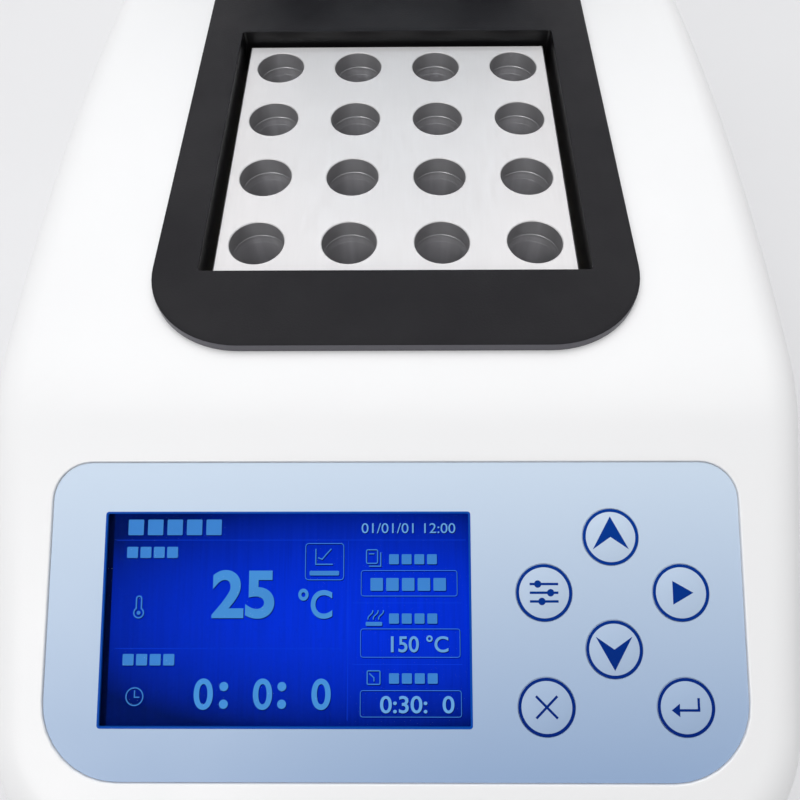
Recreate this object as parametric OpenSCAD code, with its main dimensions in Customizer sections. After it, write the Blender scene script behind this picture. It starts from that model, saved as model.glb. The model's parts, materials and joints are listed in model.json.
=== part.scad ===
// Block digester: a heated aluminium block with a grid of vial wells, set in a
// wedge-shaped moulded housing with a sloping control panel and a hinged clear lid.
// Frame: X to the right, Y to the rear, Z up; the origin is on the bench, under the
// middle of the whole width and depth, with the lid open.

/* [Housing] */
// Width of the housing at its widest place, at the shoulders
housing_w = 233; // [226:1:250]
// Depth of the housing from front edge to rear wall
housing_d = 348; // [340:1:370]
// Height of the flat top above the bench
top_h = 138; // [132:1:160]
// Wall thickness of the moulded shell
wall = 3; // [2.4:0.1:4]
// Radius between the walls and the top
shoulder_r = 12; // [8:1:16]
// Radius of the front corners in plan
front_corner_r = 34; // [26:1:44]
// Radius of the rear corners in plan
rear_corner_r = 24; // [18:1:26]
// Radius of the bowed sides in plan
side_bow_r = 1220; // [1000:20:1600]
// Length of the bowed stretch each side of the widest place
side_bow_len = 80; // [60:5:90]
// Distance of the widest place behind the front edge
widest_back = 220; // [200:5:235]
// How far the foot of each side stands out beyond its shoulder
side_draft = 1.5; // [0:0.25:3]
// Slope of the control panel, degrees
panel_slope = 23.1; // [18:0.1:28]
// Distance of the bend between top and panel behind the front edge
bend_back = 114.6; // [112:0.2:118]
// Radius of the bend between top and panel
bend_r = 60; // [30:5:80]

/* [Base] */
// Height of the rubber feet
foot_h = 8; // [5:1:14]
// Diameter of each foot where it meets the base
foot_d = 20; // [14:1:26]
// Thickness of the base tray's floor
tray_t = 3; // [2:0.5:4]
// Height of the tray's edge that shows below the housing
tray_band = 8; // [6:1:14]
// Step of the tray's edge inside the housing's edge
seam_step = 0.8; // [0.4:0.1:1.6]
// Outside diameter of the housing's screw bosses
boss_d = 9; // [8:0.5:11]
// Height of the screw bosses
boss_h = 26; // [18:1:34]

/* [Heating block] */
// Metal between the outer wells and the block's sides
block_rim = 3.75; // [3:0.25:5]
// Distance between well centres
well_pitch = 28.5; // [26:0.5:29]
// Diameter of each vial well
well_d = 17; // [14:0.1:18]
// Depth of each vial well, from the block's top down to the heater plate
well_depth = 65; // [62:1:68]
// Chamfer at the mouth of each well
well_chamfer = 0.25; // [0.2:0.05:1]
// Distance from the front edge of the housing to the block's centre
block_back = 208; // [206:1:212]
// Depth of the block's top below the frame's top
block_drop = 4.5; // [3:0.25:8]
// Thickness of the heater plate, which closes the wells from below
heater_t = 22; // [20:0.5:24]
// Diameter of the cartridge heaters
cartridge_d = 6.35; // [6:0.05:8]
// Diameter of the temperature probe
probe_d = 4; // [3:0.5:5]
// How deep the probe reaches into the block
probe_reach = 45; // [30:1:60]
// Wall thickness of the insulation jacket
jacket_wall = 12.5; // [8:0.5:14]
// Thickness of the jacket's floor
jacket_floor = 8; // [6:0.5:10]
// Clearance between the block and the jacket
jacket_gap = 0.5; // [0.3:0.1:1]

/* [Frame round the block] */
// Width of the black frame
frame_w = 142; // [138:1:150]
// Front edge of the frame, from the block's centre
frame_front = 84; // [80:1:86]
// Rear edge of the frame, from the block's centre
frame_rear = 96; // [90:1:97]
// Radius of the frame's front corners
frame_corner_r = 28; // [16:1:32]
// Radius of the frame's rear corners
frame_rear_r = 12; // [8:1:28]
// Thickness of the frame above the housing
frame_t = 2.65; // [2:0.05:4]
// Chamfer along the frame's outer edge
frame_chamfer = 0.5; // [0.3:0.1:1]
// Clearance between the block and the frame's opening
block_gap = 2.5; // [2:0.25:3.5]
// Corner radius of the opening
opening_r = 2.5; // [1:0.5:5]
// Depth of the collar below the housing's top
collar_depth = 13; // [8:1:13]
// Wall thickness of the collar
collar_wall = 3; // [2:0.5:4]

/* [Control panel] */
// Width of the recess for the overlay
recess_w = 180.5; // [178:0.5:181]
// Height of the recess along the slope
recess_h = 80.8; // [79:0.2:82]
// Corner radius at the top of the recess
recess_top_r = 10; // [6:0.5:12]
// Corner radius at the bottom of the recess
recess_bottom_r = 20; // [14:0.5:22]
// Distance of the SET key row's height line behind the front edge
key_row_back = 63.6; // [62:0.2:65]
// How far the recess reaches up the slope from that line
recess_up = 33.9; // [33:0.1:35]
// Depth of the overlay's face below the housing's face
overlay_sink = 0.5; // [0.2:0.1:0.8]
// Thickness of the overlay
overlay_t = 0.6; // [0.4:0.1:0.8]
// Clearance round the overlay
overlay_gap = 0.6; // [0.3:0.1:1]
// Width of the display window
window_w = 95.8; // [94:0.2:97]
// Height of the display window
window_h = 54.6; // [53:0.2:56]
// Centre of the display window, from the middle plane
window_x = -28.05; // [-30:0.05:-26]
// Thickness of the clear display lens
lens_t = 1; // [0.8:0.1:1.2]
// Diameter of each round key
key_d = 14.6; // [13:0.1:16]
// Centre of the key group, from the middle plane
keys_x = 56.35; // [55:0.05:58]
// Distance of the outer key columns from the group's centre
key_column = 17.65; // [17.5:0.05:18.5]
// Distance between key rows along the slope
key_row = 14.2; // [13.8:0.1:14.6]
// Travel of each key
key_travel = 0.4; // [0.2:0.05:0.5]
// Clearance round each key
key_gap = 0.1; // [0.05:0.01:0.2]
// Diameter of each key's stem
key_stem_d = 6; // [4:0.5:7]

/* [Rear] */
// Width of the rear panel
rear_panel_w = 164; // [160:1:168]
// Height of the rear panel
rear_panel_h = 84; // [82:1:88]
// Thickness of the rear panel
rear_panel_t = 2; // [1.5:0.1:2.5]
// Side of the cooling fan
fan_w = 60; // [58:1:64]
// Depth of the cooling fan
fan_t = 15; // [12:1:20]
// Centre of the fan, from the middle plane
fan_x = -40; // [-42:1:-38]
// Centre of the power inlet, from the middle plane
inlet_x = 52; // [48:1:54]
// Centre of the power switch, from the middle plane
switch_x = 16; // [14:1:20]
// Swing of the power switch's rocker, degrees
rocker_swing = 18; // [12:1:22]
// Travel of the fuse drawer
drawer_travel = 16; // [10:1:17]

/* [Lid] */
// Width of the clear lid
lid_w = 126; // [122:1:134]
// Front edge of the closed lid, from the block's centre
lid_front = 76; // [72:1:80]
// Rear edge of the closed lid, from the block's centre
lid_rear = 88; // [85:1:90]
// Height of the clear lid
lid_h = 52; // [45:1:60]
// Wall thickness of the lid
lid_wall = 2.5; // [2:0.25:3]
// Corner radius of the lid
lid_corner_r = 12; // [8:1:16]
// Gap between the closed lid and the frame
lid_gap = 0.5; // [0.3:0.1:1]
// Distance of the hinge axis behind the block's centre
hinge_back = 103; // [102:0.5:105]
// Height of the hinge axis above the housing's top
hinge_rise = 8; // [7.5:0.25:10]
// Distance of each hinge from the middle plane
hinge_x = 38; // [32:1:48]
// Diameter of the hinge pins
pin_d = 4; // [3:0.5:5]
// Radial running clearance of the hinge pins
pin_gap = 0.05; // [0.03:0.01:0.08]

/* [Hidden] */

$fn = 48;
eps = 0.01;
seat_gap = 0.3;      // clearance of parts that lie close without bearing on each other
screw_gap = 0.1;     // radial clearance of a screw in its hole
screw_d = 3;         // shank of the small screws
screw_head_d = 5.6;
screw_head_h = 1.8;
drive_d = 2;         // recess for the driver in each screw's head
drive_deep = 1;
through = 20;        // length of a cutter that passes right through a wall
press_gap = 0.05;    // between parts that rest against each other while they move
bite = 1;            // how far bosses reach into the wall they grow from

wells_n = 4;         // wells along each side
block_w = (wells_n - 1) * well_pitch + well_d + 2 * block_rim;
block_h = well_depth;  // the wells go right through the block
opening_w = block_w + 2 * block_gap;

// Places along the depth and height
hinge_y_back = block_back + hinge_back;
lid_top_rise = frame_t + lid_gap + lid_h - hinge_rise;  // lid top above the hinge axis, closed
overall_d = max(housing_d, hinge_y_back + lid_top_rise);
front_y = -overall_d / 2;
rear_y = front_y + housing_d;
block_y = front_y + block_back;
bend_y = front_y + bend_back;
widest_y = front_y + widest_back;
tray_floor_z = foot_h + tray_t;
shell_z = foot_h + tray_band;
frame_top_z = top_h + frame_t;
block_top_z = frame_top_z - block_drop;
block_z = block_top_z - block_h;
heater_z = block_z - heater_t;
support_t = 2;
support_z = heater_z - jacket_floor - support_t;
hinge_y = block_y + hinge_back;
hinge_z = top_h + hinge_rise;

// ---- outline of the housing in plan, and its height ----

side_angle = atan(side_bow_len / side_bow_r);
bend_cut = bend_r * tan(panel_slope / 2);
bend_start_y = bend_y + bend_cut;
bend_end_y = bend_y - bend_cut * cos(panel_slope);

// Half-width at y: an arc round the widest place that runs out into straight lines
function half_width(y) =
  let (d = abs(y - widest_y), arc = min(d, side_bow_len))
  housing_w / 2 - arc * arc / (2 * side_bow_r) - (d - arc) * tan(side_angle);

// Height of the top face at y: flat, a rounded bend, then the panel's slope
function top_height(y) =
  y >= bend_start_y ? top_h
  : y > bend_end_y ? top_h - bend_r + sqrt(bend_r * bend_r - pow(bend_start_y - y, 2))
  : top_h - (bend_y - y) * tan(panel_slope);

// Height of the panel's plane at y, carried on past the bend
function slope_height(y) = top_h - (bend_y - y) * tan(panel_slope);

corner_steps = 8;
front_steps = 5;
bend_steps = 8;
rear_steps = 14;
front_corner_y = front_y + front_corner_r;
rear_corner_y = rear_y - rear_corner_r;
front_corner_x = half_width(front_corner_y) - front_corner_r / cos(side_angle);
rear_corner_x = half_width(rear_corner_y) - rear_corner_r / cos(side_angle);
side_from_y = front_corner_y - front_corner_r * sin(side_angle);
side_to_y = rear_corner_y + rear_corner_r * sin(side_angle);

// A point on a corner's arc, with the outward direction there: [x, y, nx, ny]
function corner_point(x, y, r, a) = [x + r * cos(a), y + r * sin(a), cos(a), sin(a)];

// A point on the bowed side, with the outward direction there
function side_point(y) =
  let (d = y - widest_y,
       a = sign(d) * atan(min(abs(d), side_bow_len) / side_bow_r))
  [half_width(y), y, cos(a), sin(a)];

right_side = concat(
  [for (i = [0:corner_steps])
    corner_point(front_corner_x, front_corner_y, front_corner_r,
                 -90 + (90 - side_angle) * i / corner_steps)],
  [for (i = [1:front_steps])
    side_point(side_from_y + (bend_end_y - side_from_y) * i / front_steps)],
  [for (i = [1:bend_steps])
    side_point(bend_end_y + (bend_start_y - bend_end_y) * i / bend_steps)],
  [for (i = [1:rear_steps - 1])
    side_point(bend_start_y + (side_to_y - bend_start_y) * i / rear_steps)],
  [for (i = [0:corner_steps])
    corner_point(rear_corner_x, rear_corner_y, rear_corner_r,
                 side_angle + (90 - side_angle) * i / corner_steps)]
);
half_n = len(right_side);
ring_n = 2 * half_n;
outline = concat(
  right_side,
  [for (i = [half_n - 1:-1:0])
    let (p = right_side[i]) [-p[0], p[1], -p[2], p[3]]]
);

// The outline drawn in by inset, with its sides standing out by spread
function plan_xy(p, inset, spread) =
  [p[0] + p[2] * (spread - inset), p[1] - p[3] * inset];
function plan(inset, spread = 0) = [for (p = outline) plan_xy(p, inset, spread)];

// A level ring of the shell, and a ring that follows the top at a depth below it
function level_ring(inset, z) =
  [for (q = plan(inset, side_draft)) [q[0], q[1], z]];
function shoulder_ring(inset, drop) =
  [for (q = plan(inset)) [q[0], q[1], top_height(q[1]) - drop]];

shoulder_angles = [0, 18, 36, 54, 72, 90];
function shell_rings(inset, z) =
  let (r = shoulder_r - inset)
  concat(
    level_ring(inset, z),
    [for (a = shoulder_angles)
      each shoulder_ring(inset + r * (1 - cos(a)), inset + r * (1 - sin(a)))]
  );

// Faces between ring a and ring b above it, then across the top from side to side
function band(a, b) =
  [for (i = [0:ring_n - 1])
    let (j = (i + 1) % ring_n)
    each [[a + i, b + i, b + j], [a + i, b + j, a + j]]];
function top_strips(a) =
  [for (i = [0:half_n - 2])
    let (m = ring_n - 1 - i)
    each [[a + i, a + m, a + m - 1], [a + i, a + m - 1, a + i + 1]]];
function turned(faces) = [for (f = faces) [f[2], f[1], f[0]]];
function skin(first) =
  let (n = len(shoulder_angles))
  concat(
    [for (k = [0:n - 1]) each band(first + k * ring_n, first + (k + 1) * ring_n)],
    top_strips(first + n * ring_n)
  );

// The open-bottomed shell: an outer skin, an inner skin, and the rim between them
module shell() {
  inner_first = (len(shoulder_angles) + 1) * ring_n;
  polyhedron(
    points = concat(shell_rings(0, shell_z), shell_rings(wall, shell_z)),
    faces = concat(skin(0), turned(skin(inner_first)), band(inner_first, 0)),
    convexity = 6
  );
}

// ---- shared shapes ----

// A square with round corners made of plain rectangles and circles
module plain_rounded(size, r) {
  square([size[0] - 2 * r, size[1]], center = true);
  square([size[0], size[1] - 2 * r], center = true);
  for (x = [-1, 1], y = [-1, 1])
    translate([x * (size[0] / 2 - r), y * (size[1] / 2 - r)]) circle(r);
}

module box_at(x, y, z, size) {
  translate([x - size[0] / 2, y - size[1] / 2, z]) cube(size);
}

// A screw that points up, with its head's underside at the origin
module screw_up(length, d = screw_d) {
  cylinder(d = d, h = length);
  mirror([0, 0, 1])
    difference() {
      cylinder(d = screw_head_d, h = screw_head_h);
      translate([0, 0, screw_head_h - drive_deep]) cylinder(d = drive_d, h = drive_deep + eps);
    }
}

// A screw that points forward, with its head's underside at the origin
module screw_forward(length, d = screw_d) { rotate([90, 0, 0]) screw_up(length, d); }

// Coordinates of the sloping panel: x across, y up the slope, z out of the overlay's face
panel_y = front_y + key_row_back;
panel_z = slope_height(panel_y) - overlay_sink / cos(panel_slope);
module on_panel() { translate([0, panel_y, panel_z]) rotate([panel_slope, 0, 0]) children(); }

// ---- housing ----

panel_inner = overlay_sink - wall * cos(panel_slope);  // inner face of the panel's wall
recess_mid = recess_up - recess_h / 2;
lens_margin = 1.5;   // how far the lens's seat reaches under the overlay
lens_gap = 0.1;
key_proud = 0.1;     // how far the resting keys stand out of the overlay
key_well = key_travel + 0.1;  // room for a pressed key below the overlay

key_places = [
  [keys_x, key_row], [keys_x, -key_row],
  [keys_x - key_column, 0], [keys_x + key_column, 0],
  [keys_x - key_column, -2 * key_row], [keys_x + key_column, -2 * key_row]
];

// The overlay's outline: tight corners at the top, wide ones at the bottom
module panel_outline(inset) {
  w = recess_w / 2 - inset;
  top_r = recess_top_r - inset;
  low_r = recess_bottom_r - inset;
  up = recess_up - inset;
  low = recess_up - recess_h + inset;
  for (s = [-1, 1]) {
    translate([s * (w - top_r), up - top_r]) circle(top_r);
    translate([s * (w - low_r), low + low_r]) circle(low_r);
  }
  polygon([
    [-w, low + low_r], [-(w - low_r), low], [w - low_r, low], [w, low + low_r],
    [w, up - top_r], [w - top_r, up], [-(w - top_r), up], [-w, up - top_r]
  ]);
}

boss_front_in = 62;
boss_rear_in = 48;
boss_places = [
  for (y = [front_y + boss_front_in, block_y, rear_y - boss_rear_in], s = [-1, 1])
    [s * (half_width(y) - wall - boss_d / 2 + bite), y]
];
pilot_d = screw_d + 2 * screw_gap;
boss_screw_l = 14;

collar_w = opening_w + 2 * collar_wall;
collar_r = opening_r + collar_wall;
frame_screw_x = frame_w / 2 - 20;
frame_screw_places = [
  for (x = [-1, 1], y = [13 - frame_front, frame_rear - 17])
    [x * frame_screw_x, block_y + y]
];

// Side louvres, level with the block
louvre_n = 9;
louvre_pitch = 8;
louvre_w = 3.2;
louvre_h = 24;
louvre_rise = 22;    // lower end of the louvres above the housing's foot
louvre_z = shell_z + louvre_rise;

rear_margin = 7;     // how far the rear panel reaches past its window
rear_mid_z = (shell_z + top_h - shoulder_r) / 2;
rear_panel_y = rear_y - wall - rear_panel_t;
rear_screw_in = 12;
rear_screw_places = [
  for (x = [-1, 1], z = [-1, 1])
    [x * (rear_panel_w - rear_margin) / 2, rear_mid_z + z * (rear_panel_h / 2 - rear_screw_in)]
];

hinge_plate_w = 34;
hinge_plate_from = frame_rear + seat_gap;   // front edge of each hinge's foot
hinge_plate_d = 22;
hinge_plate_t = 3;
hinge_screw_out = 13;  // from the middle of each hinge
hinge_screw_in = 5;    // from the rear edge of its foot
hinge_screw_places = [
  for (s = [-1, 1], x = [-1, 1])
    [s * hinge_x + x * hinge_screw_out,
     block_y + hinge_plate_from + hinge_plate_d - hinge_screw_in]
];

key_board_rim = 4;             // the board reaches this far past the keys
key_board_w = 2 * key_column + key_d + 2 * key_board_rim;
key_board_h = 3 * key_row + key_d + 2 * key_board_rim;
stem_end = -4.5;               // how far the key stems reach below the overlay's face
plunger_d = 3.5;
plunger_h = 0.5;
tact_w = 6;                    // the small switches on the key board
tact_h = 3.5;
plunger_top = stem_end - key_travel - press_gap;
tact_top = plunger_top - plunger_h;
key_board_top = tact_top - tact_h;
board_t = 1.6;
key_board_mid = -key_row / 2;
post_d = 5;
post_in = 3;                   // the posts stand this far inside the board's edges
post_places = [
  for (x = [-1, 1], y = [-1, 1])
    [keys_x + x * (key_board_w / 2 - post_in), key_board_mid + y * (key_board_h / 2 - post_in)]
];

module upper_housing() color("whitesmoke")
  difference() {
    union() {
      shell();
      for (p = boss_places)
        translate([p[0], p[1], tray_floor_z]) cylinder(d = boss_d, h = boss_h);
      on_panel()
        for (p = post_places)
          translate([p[0], p[1], key_board_top])
            cylinder(d = post_d, h = panel_inner - key_board_top + bite / 2);
    }
    for (p = boss_places)
      translate([p[0], p[1], tray_floor_z - eps]) cylinder(d = pilot_d, h = boss_screw_l);
    translate([0, block_y, top_h - through / 2])
      linear_extrude(through)
        plain_rounded([collar_w + 2 * seat_gap, collar_w + 2 * seat_gap], collar_r);
    for (p = concat(frame_screw_places, hinge_screw_places))
      translate([p[0], p[1], top_h - through / 2]) cylinder(d = pilot_d, h = through);
    on_panel() {
      translate([0, 0, -overlay_t]) linear_extrude(through) panel_outline(0);
      translate([window_x, recess_mid, -through / 2])
        linear_extrude(through)
          square([window_w + 2 * lens_margin, window_h + 2 * lens_margin], center = true);
      for (p = key_places)
        translate([p[0], p[1], 0]) {
          translate([0, 0, -overlay_t - key_well]) cylinder(d = key_d + 2 * seat_gap, h = through);
          translate([0, 0, -through / 2]) cylinder(d = key_stem_d + 4 * key_gap, h = through);
        }
    }
    for (s = [-1, 1], i = [0:louvre_n - 1])
      box_at(s * housing_w / 2, block_y + (i - (louvre_n - 1) / 2) * louvre_pitch,
             louvre_z, [through, louvre_w, louvre_h]);
    translate([0, rear_y - wall / 2, rear_mid_z])
      cube([rear_panel_w - 2 * rear_margin, through, rear_panel_h - 2 * rear_margin],
           center = true);
    for (p = rear_screw_places)
      translate([p[0], rear_y + bite, p[1]])
        rotate([90, 0, 0]) cylinder(d = pilot_d, h = through / 2);
  }

// ---- base ----

foot_side_in = 36;
foot_front_in = 40;
foot_rear_in = 34;
foot_hole_d = 6;     // for the screw that holds each foot
foot_taper = 3;
foot_places = [
  for (x = [-1, 1], y = [front_y + foot_front_in, rear_y - foot_rear_in])
    [x * (housing_w / 2 - foot_side_in), y]
];
tray_slot_n = 8;
tray_slot_pitch = 9;
tray_slot = [3.5, 34];
tray_slot_front_in = 82;
tray_slot_rear_in = 62;
tray_slot_ys = [front_y + tray_slot_front_in, rear_y - tray_slot_rear_in];

jacket_w = block_w + 2 * jacket_gap + 2 * jacket_wall;
support_rim = 4;     // the support plate reaches this far past the jacket
support_w = jacket_w + 2 * support_rim;
support_post_d = 10;
support_post_in = 8;
support_post_places = [
  for (x = [-1, 1], y = [-1, 1])
    [x * (support_w / 2 - support_post_in), block_y + y * (support_w / 2 - support_post_in)]
];

board_w = 74;
board_d = 52;
board_x = -44;
board_in = 82;
board_y = front_y + board_in;
spacer_h = 8;
spacer_d = 6;
spacer_in = 4;
spacer_places = [
  for (x = [-1, 1], y = [-1, 1])
    [board_x + x * (board_w / 2 - spacer_in), board_y + y * (board_d / 2 - spacer_in)]
];

module base_tray() color("gainsboro")
  difference() {
    union() {
      translate([0, 0, foot_h]) linear_extrude(tray_t) polygon(plan(seam_step, side_draft));
      translate([0, 0, foot_h])
        linear_extrude(tray_band)
          difference() {
            polygon(plan(seam_step, side_draft));
            polygon(plan(wall + seam_step, side_draft));
          }
    }
    for (p = boss_places) {
      translate([p[0], p[1], 0]) cylinder(d = pilot_d, h = through);
      translate([p[0], p[1], tray_floor_z - eps])
        cylinder(d = boss_d + 2 * seat_gap, h = tray_band);
    }
    for (i = [0:tray_slot_n - 1], y = tray_slot_ys)
      box_at((i - (tray_slot_n - 1) / 2) * tray_slot_pitch, y, 0,
             [tray_slot[0], tray_slot[1], through]);
  }

module rubber_feet() color("dimgray")
  for (p = foot_places)
    translate([p[0], p[1], 0])
      difference() {
        cylinder(d1 = foot_d - foot_taper, d2 = foot_d, h = foot_h);
        translate([0, 0, -eps]) cylinder(d = foot_hole_d, h = foot_h / 2);
      }

module housing_screws() color("silver")
  for (p = boss_places)
    translate([p[0], p[1], foot_h]) screw_up(tray_t + boss_screw_l - bite);

// ---- frame round the block ----

module frame_outline(inset) {
  for (end = [[-frame_front, frame_corner_r], [frame_rear, frame_rear_r]]) {
    out = end[0] - sign(end[0]) * inset;   // this end's edge
    r = end[1] - inset;
    arc_y = out - sign(end[0]) * r;        // centres of this end's corners
    for (x = [-1, 1]) translate([x * (frame_w / 2 - inset - r), arc_y]) circle(r);
    translate([-frame_w / 2 + inset + r, min(0, out)])
      square([frame_w - 2 * (inset + r), abs(out)]);
    translate([-frame_w / 2 + inset, min(0, arc_y)])
      square([frame_w - 2 * inset, abs(arc_y)]);
  }
}

frame_screw_l = wall + frame_t - bite;
module block_frame() color([0.2, 0.2, 0.215])
  difference() {
    union() {
      translate([0, block_y, top_h])
        linear_extrude(frame_t - frame_chamfer) frame_outline(0);
      translate([0, block_y, frame_top_z - frame_chamfer])
        hull() {
          linear_extrude(eps) frame_outline(0);
          translate([0, 0, frame_chamfer - eps]) linear_extrude(eps) frame_outline(frame_chamfer);
        }
      translate([0, block_y, top_h - collar_depth])
        linear_extrude(collar_depth + bite) plain_rounded([collar_w, collar_w], collar_r);
    }
    translate([0, block_y, top_h - through])
      linear_extrude(2 * through) plain_rounded([opening_w, opening_w], opening_r);
    for (p = frame_screw_places)
      translate([p[0], p[1], top_h - bite]) cylinder(d = pilot_d, h = frame_t);
  }

module frame_screws() color("silver")
  for (p = frame_screw_places)
    translate([p[0], p[1], top_h - wall]) screw_up(frame_screw_l);

// ---- heating block ----

well_span = (wells_n - 1) / 2;
probe_z = block_z + block_h / 2;
bolt_d = 4;
bolt_in = 8;         // how far the bolts reach into the block
bolt_hole_d = bolt_d + 2 * screw_gap;
bolt_out = well_pitch;  // the bolts stand between four wells each
bolt_places = [for (x = [-1, 1], y = [-1, 1]) [x * bolt_out, block_y + y * bolt_out]];
cartridge_x = well_pitch / 2;
cartridge_short = 1; // the heaters end this far inside the plate's edges
cutout_d = 16;
cutout_rim = 3;
cutout_dish = 2;
jacket_drop = 1.5;   // from the frame's collar down to the jacket
probe_out = 6;       // how far the probe stands out of the jacket

module well() {
  translate([0, 0, -well_depth - bite]) cylinder(d = well_d, h = well_depth + 2 * bite);
  translate([0, 0, -well_chamfer])
    cylinder(d1 = well_d, d2 = well_d + 2 * well_chamfer + 2 * eps, h = well_chamfer + eps);
}

module heating_block() color([0.87, 0.87, 0.88])
  difference() {
    box_at(0, block_y, block_z, [block_w, block_w, block_h]);
    for (i = [0:wells_n - 1], j = [0:wells_n - 1])
      translate([(i - well_span) * well_pitch, block_y + (j - well_span) * well_pitch,
                 block_top_z]) well();
    translate([0, block_y + block_w / 2 + bite, probe_z])
      rotate([90, 0, 0])
        cylinder(d = probe_d + 2 * screw_gap, h = probe_reach + seat_gap + bite);
    for (p = bolt_places)
      translate([p[0], p[1], block_z - bite])
        cylinder(d = bolt_hole_d, h = bolt_in + seat_gap + bite);
  }

module heater_plate() color("darkgray")
  difference() {
    box_at(0, block_y, heater_z, [block_w, block_w, heater_t]);
    for (x = [-1, 1])
      translate([x * cartridge_x, block_y, heater_z + heater_t / 2])
        rotate([90, 0, 0])
          cylinder(d = cartridge_d + 2 * screw_gap, h = block_w + through, center = true);
    for (p = bolt_places)
      translate([p[0], p[1], heater_z - bite]) cylinder(d = bolt_hole_d, h = heater_t + 2 * bite);
  }

module cartridge_heaters() color("silver")
  for (x = [-1, 1])
    translate([x * cartridge_x, block_y, heater_z + heater_t / 2])
      rotate([90, 0, 0])
        cylinder(d = cartridge_d, h = block_w - 2 * cartridge_short, center = true);

module block_screws() color("silver")
  for (p = bolt_places)
    translate([p[0], p[1], support_z])
      screw_up(support_t + jacket_floor + heater_t + bolt_in, bolt_d);

jacket_top_z = top_h - collar_depth - jacket_drop;
module insulation_jacket() color("ivory")
  difference() {
    box_at(0, block_y, support_z + support_t,
           [jacket_w, jacket_w, jacket_top_z - support_z - support_t]);
    box_at(0, block_y, heater_z,
           [block_w + 2 * jacket_gap, block_w + 2 * jacket_gap, block_h + heater_t]);
    for (p = bolt_places)
      translate([p[0], p[1], support_z]) cylinder(d = bolt_d + 2 * jacket_gap, h = through);
    translate([0, block_y, support_z]) cylinder(d = cutout_d + 2 * jacket_gap, h = through);
    translate([0, block_y + block_w, probe_z])
      rotate([90, 0, 0]) cylinder(d = probe_d + 2 * jacket_gap, h = block_w / 2);
  }

module support_plate() color("silver")
  difference() {
    box_at(0, block_y, support_z, [support_w, support_w, support_t]);
    for (p = bolt_places)
      translate([p[0], p[1], support_z - bite]) cylinder(d = bolt_hole_d, h = support_t + 2 * bite);
  }

module support_posts() color("goldenrod")
  for (p = support_post_places)
    translate([p[0], p[1], tray_floor_z])
      cylinder(d = support_post_d, h = support_z - tray_floor_z, $fn = 6);

module temperature_probe() color("silver") {
  length = probe_reach + jacket_gap + jacket_wall + probe_out;
  translate([0, block_y + block_w / 2 - probe_reach, probe_z])
    rotate([-90, 0, 0]) cylinder(d = probe_d, h = length);
}

module thermal_cutout() color("tan")
  translate([0, block_y, support_z + support_t])
    difference() {
      cylinder(d = cutout_d, h = jacket_floor);
      translate([0, 0, -eps]) cylinder(d = cutout_d - 2 * cutout_rim, h = cutout_dish);
    }

// ---- control panel ----

module control_overlay() color([0.73, 0.81, 0.91])
  on_panel()
    translate([0, 0, -overlay_t])
      linear_extrude(overlay_t)
        difference() {
          panel_outline(overlay_gap);
          translate([window_x, recess_mid]) square([window_w, window_h], center = true);
          for (p = key_places) translate(p) circle(d = key_d + 2 * key_gap);
        }

module display_lens() color([0.8, 0.9, 1, 0.4])
  on_panel()
    translate([window_x, recess_mid, -overlay_t - lens_t])
      linear_extrude(lens_t)
        square([window_w + 2 * (lens_margin - lens_gap), window_h + 2 * (lens_margin - lens_gap)],
               center = true);

lcd_w = 105.5;
lcd_h = 67.2;
lcd_t = 4.2;
module lcd_module() color([0.05, 0.15, 0.75])
  on_panel()
    translate([window_x, recess_mid, panel_inner - lens_gap - lcd_t])
      linear_extrude(lcd_t) square([lcd_w, lcd_h], center = true);

// A round key: a thin disc in the overlay on a stem that reaches its switch
module round_key(place) color([0.75, 0.83, 0.93])
  on_panel()
    translate([place[0], place[1], 0]) {
      translate([0, 0, key_proud - overlay_t]) cylinder(d = key_d, h = overlay_t);
      translate([0, 0, stem_end]) cylinder(d = key_stem_d, h = -stem_end - overlay_t / 2);
    }

module key_board() color("seagreen")
  on_panel() {
    translate([keys_x, key_board_mid, key_board_top - board_t])
      linear_extrude(board_t) square([key_board_w, key_board_h], center = true);
    for (p = key_places) {
      box_at(p[0], p[1], key_board_top - eps, [tact_w, tact_w, tact_h + eps]);
      translate([p[0], p[1], tact_top - eps]) cylinder(d = plunger_d, h = plunger_h + eps);
    }
  }

// Parts on the power board, each with its middle and its size: the transformer, the relay
// and the row of terminals; and two capacitors
transformer = [28, 24, 20];
relay = [26, 12, 10];
terminals = [30, 8, 12];
board_rim = 4;       // from the board's sides to the parts on it
board_left = board_rim - board_w / 2;
board_front = board_rim - board_d / 2;
board_blocks = [
  [board_left + terminals[0] / 2, -board_front - board_rim - transformer[1] / 2, transformer],
  [-board_left - relay[0] / 2, board_front + board_rim + relay[1] / 2, relay],
  [board_left + terminals[0] / 2, board_front + terminals[1] / 2, terminals]
];
capacitor_d = 11;
capacitor_h = 18;
capacitor_places = [
  for (k = [0.5, 2])
    [-board_left - k * capacitor_d, -board_front - board_rim - capacitor_d / 2]
];

module power_board() color("seagreen")
  translate([board_x, board_y, tray_floor_z + spacer_h]) {
    box_at(0, 0, 0, [board_w, board_d, board_t]);
    for (b = board_blocks) box_at(b[0], b[1], board_t - eps, b[2]);
    for (p = capacitor_places)
      translate([p[0], p[1], board_t - eps]) cylinder(d = capacitor_d, h = capacitor_h);
  }

module board_spacers() color("white")
  for (p = spacer_places)
    translate([p[0], p[1], tray_floor_z]) cylinder(d = spacer_d, h = spacer_h, $fn = 6);

// ---- rear ----

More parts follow.
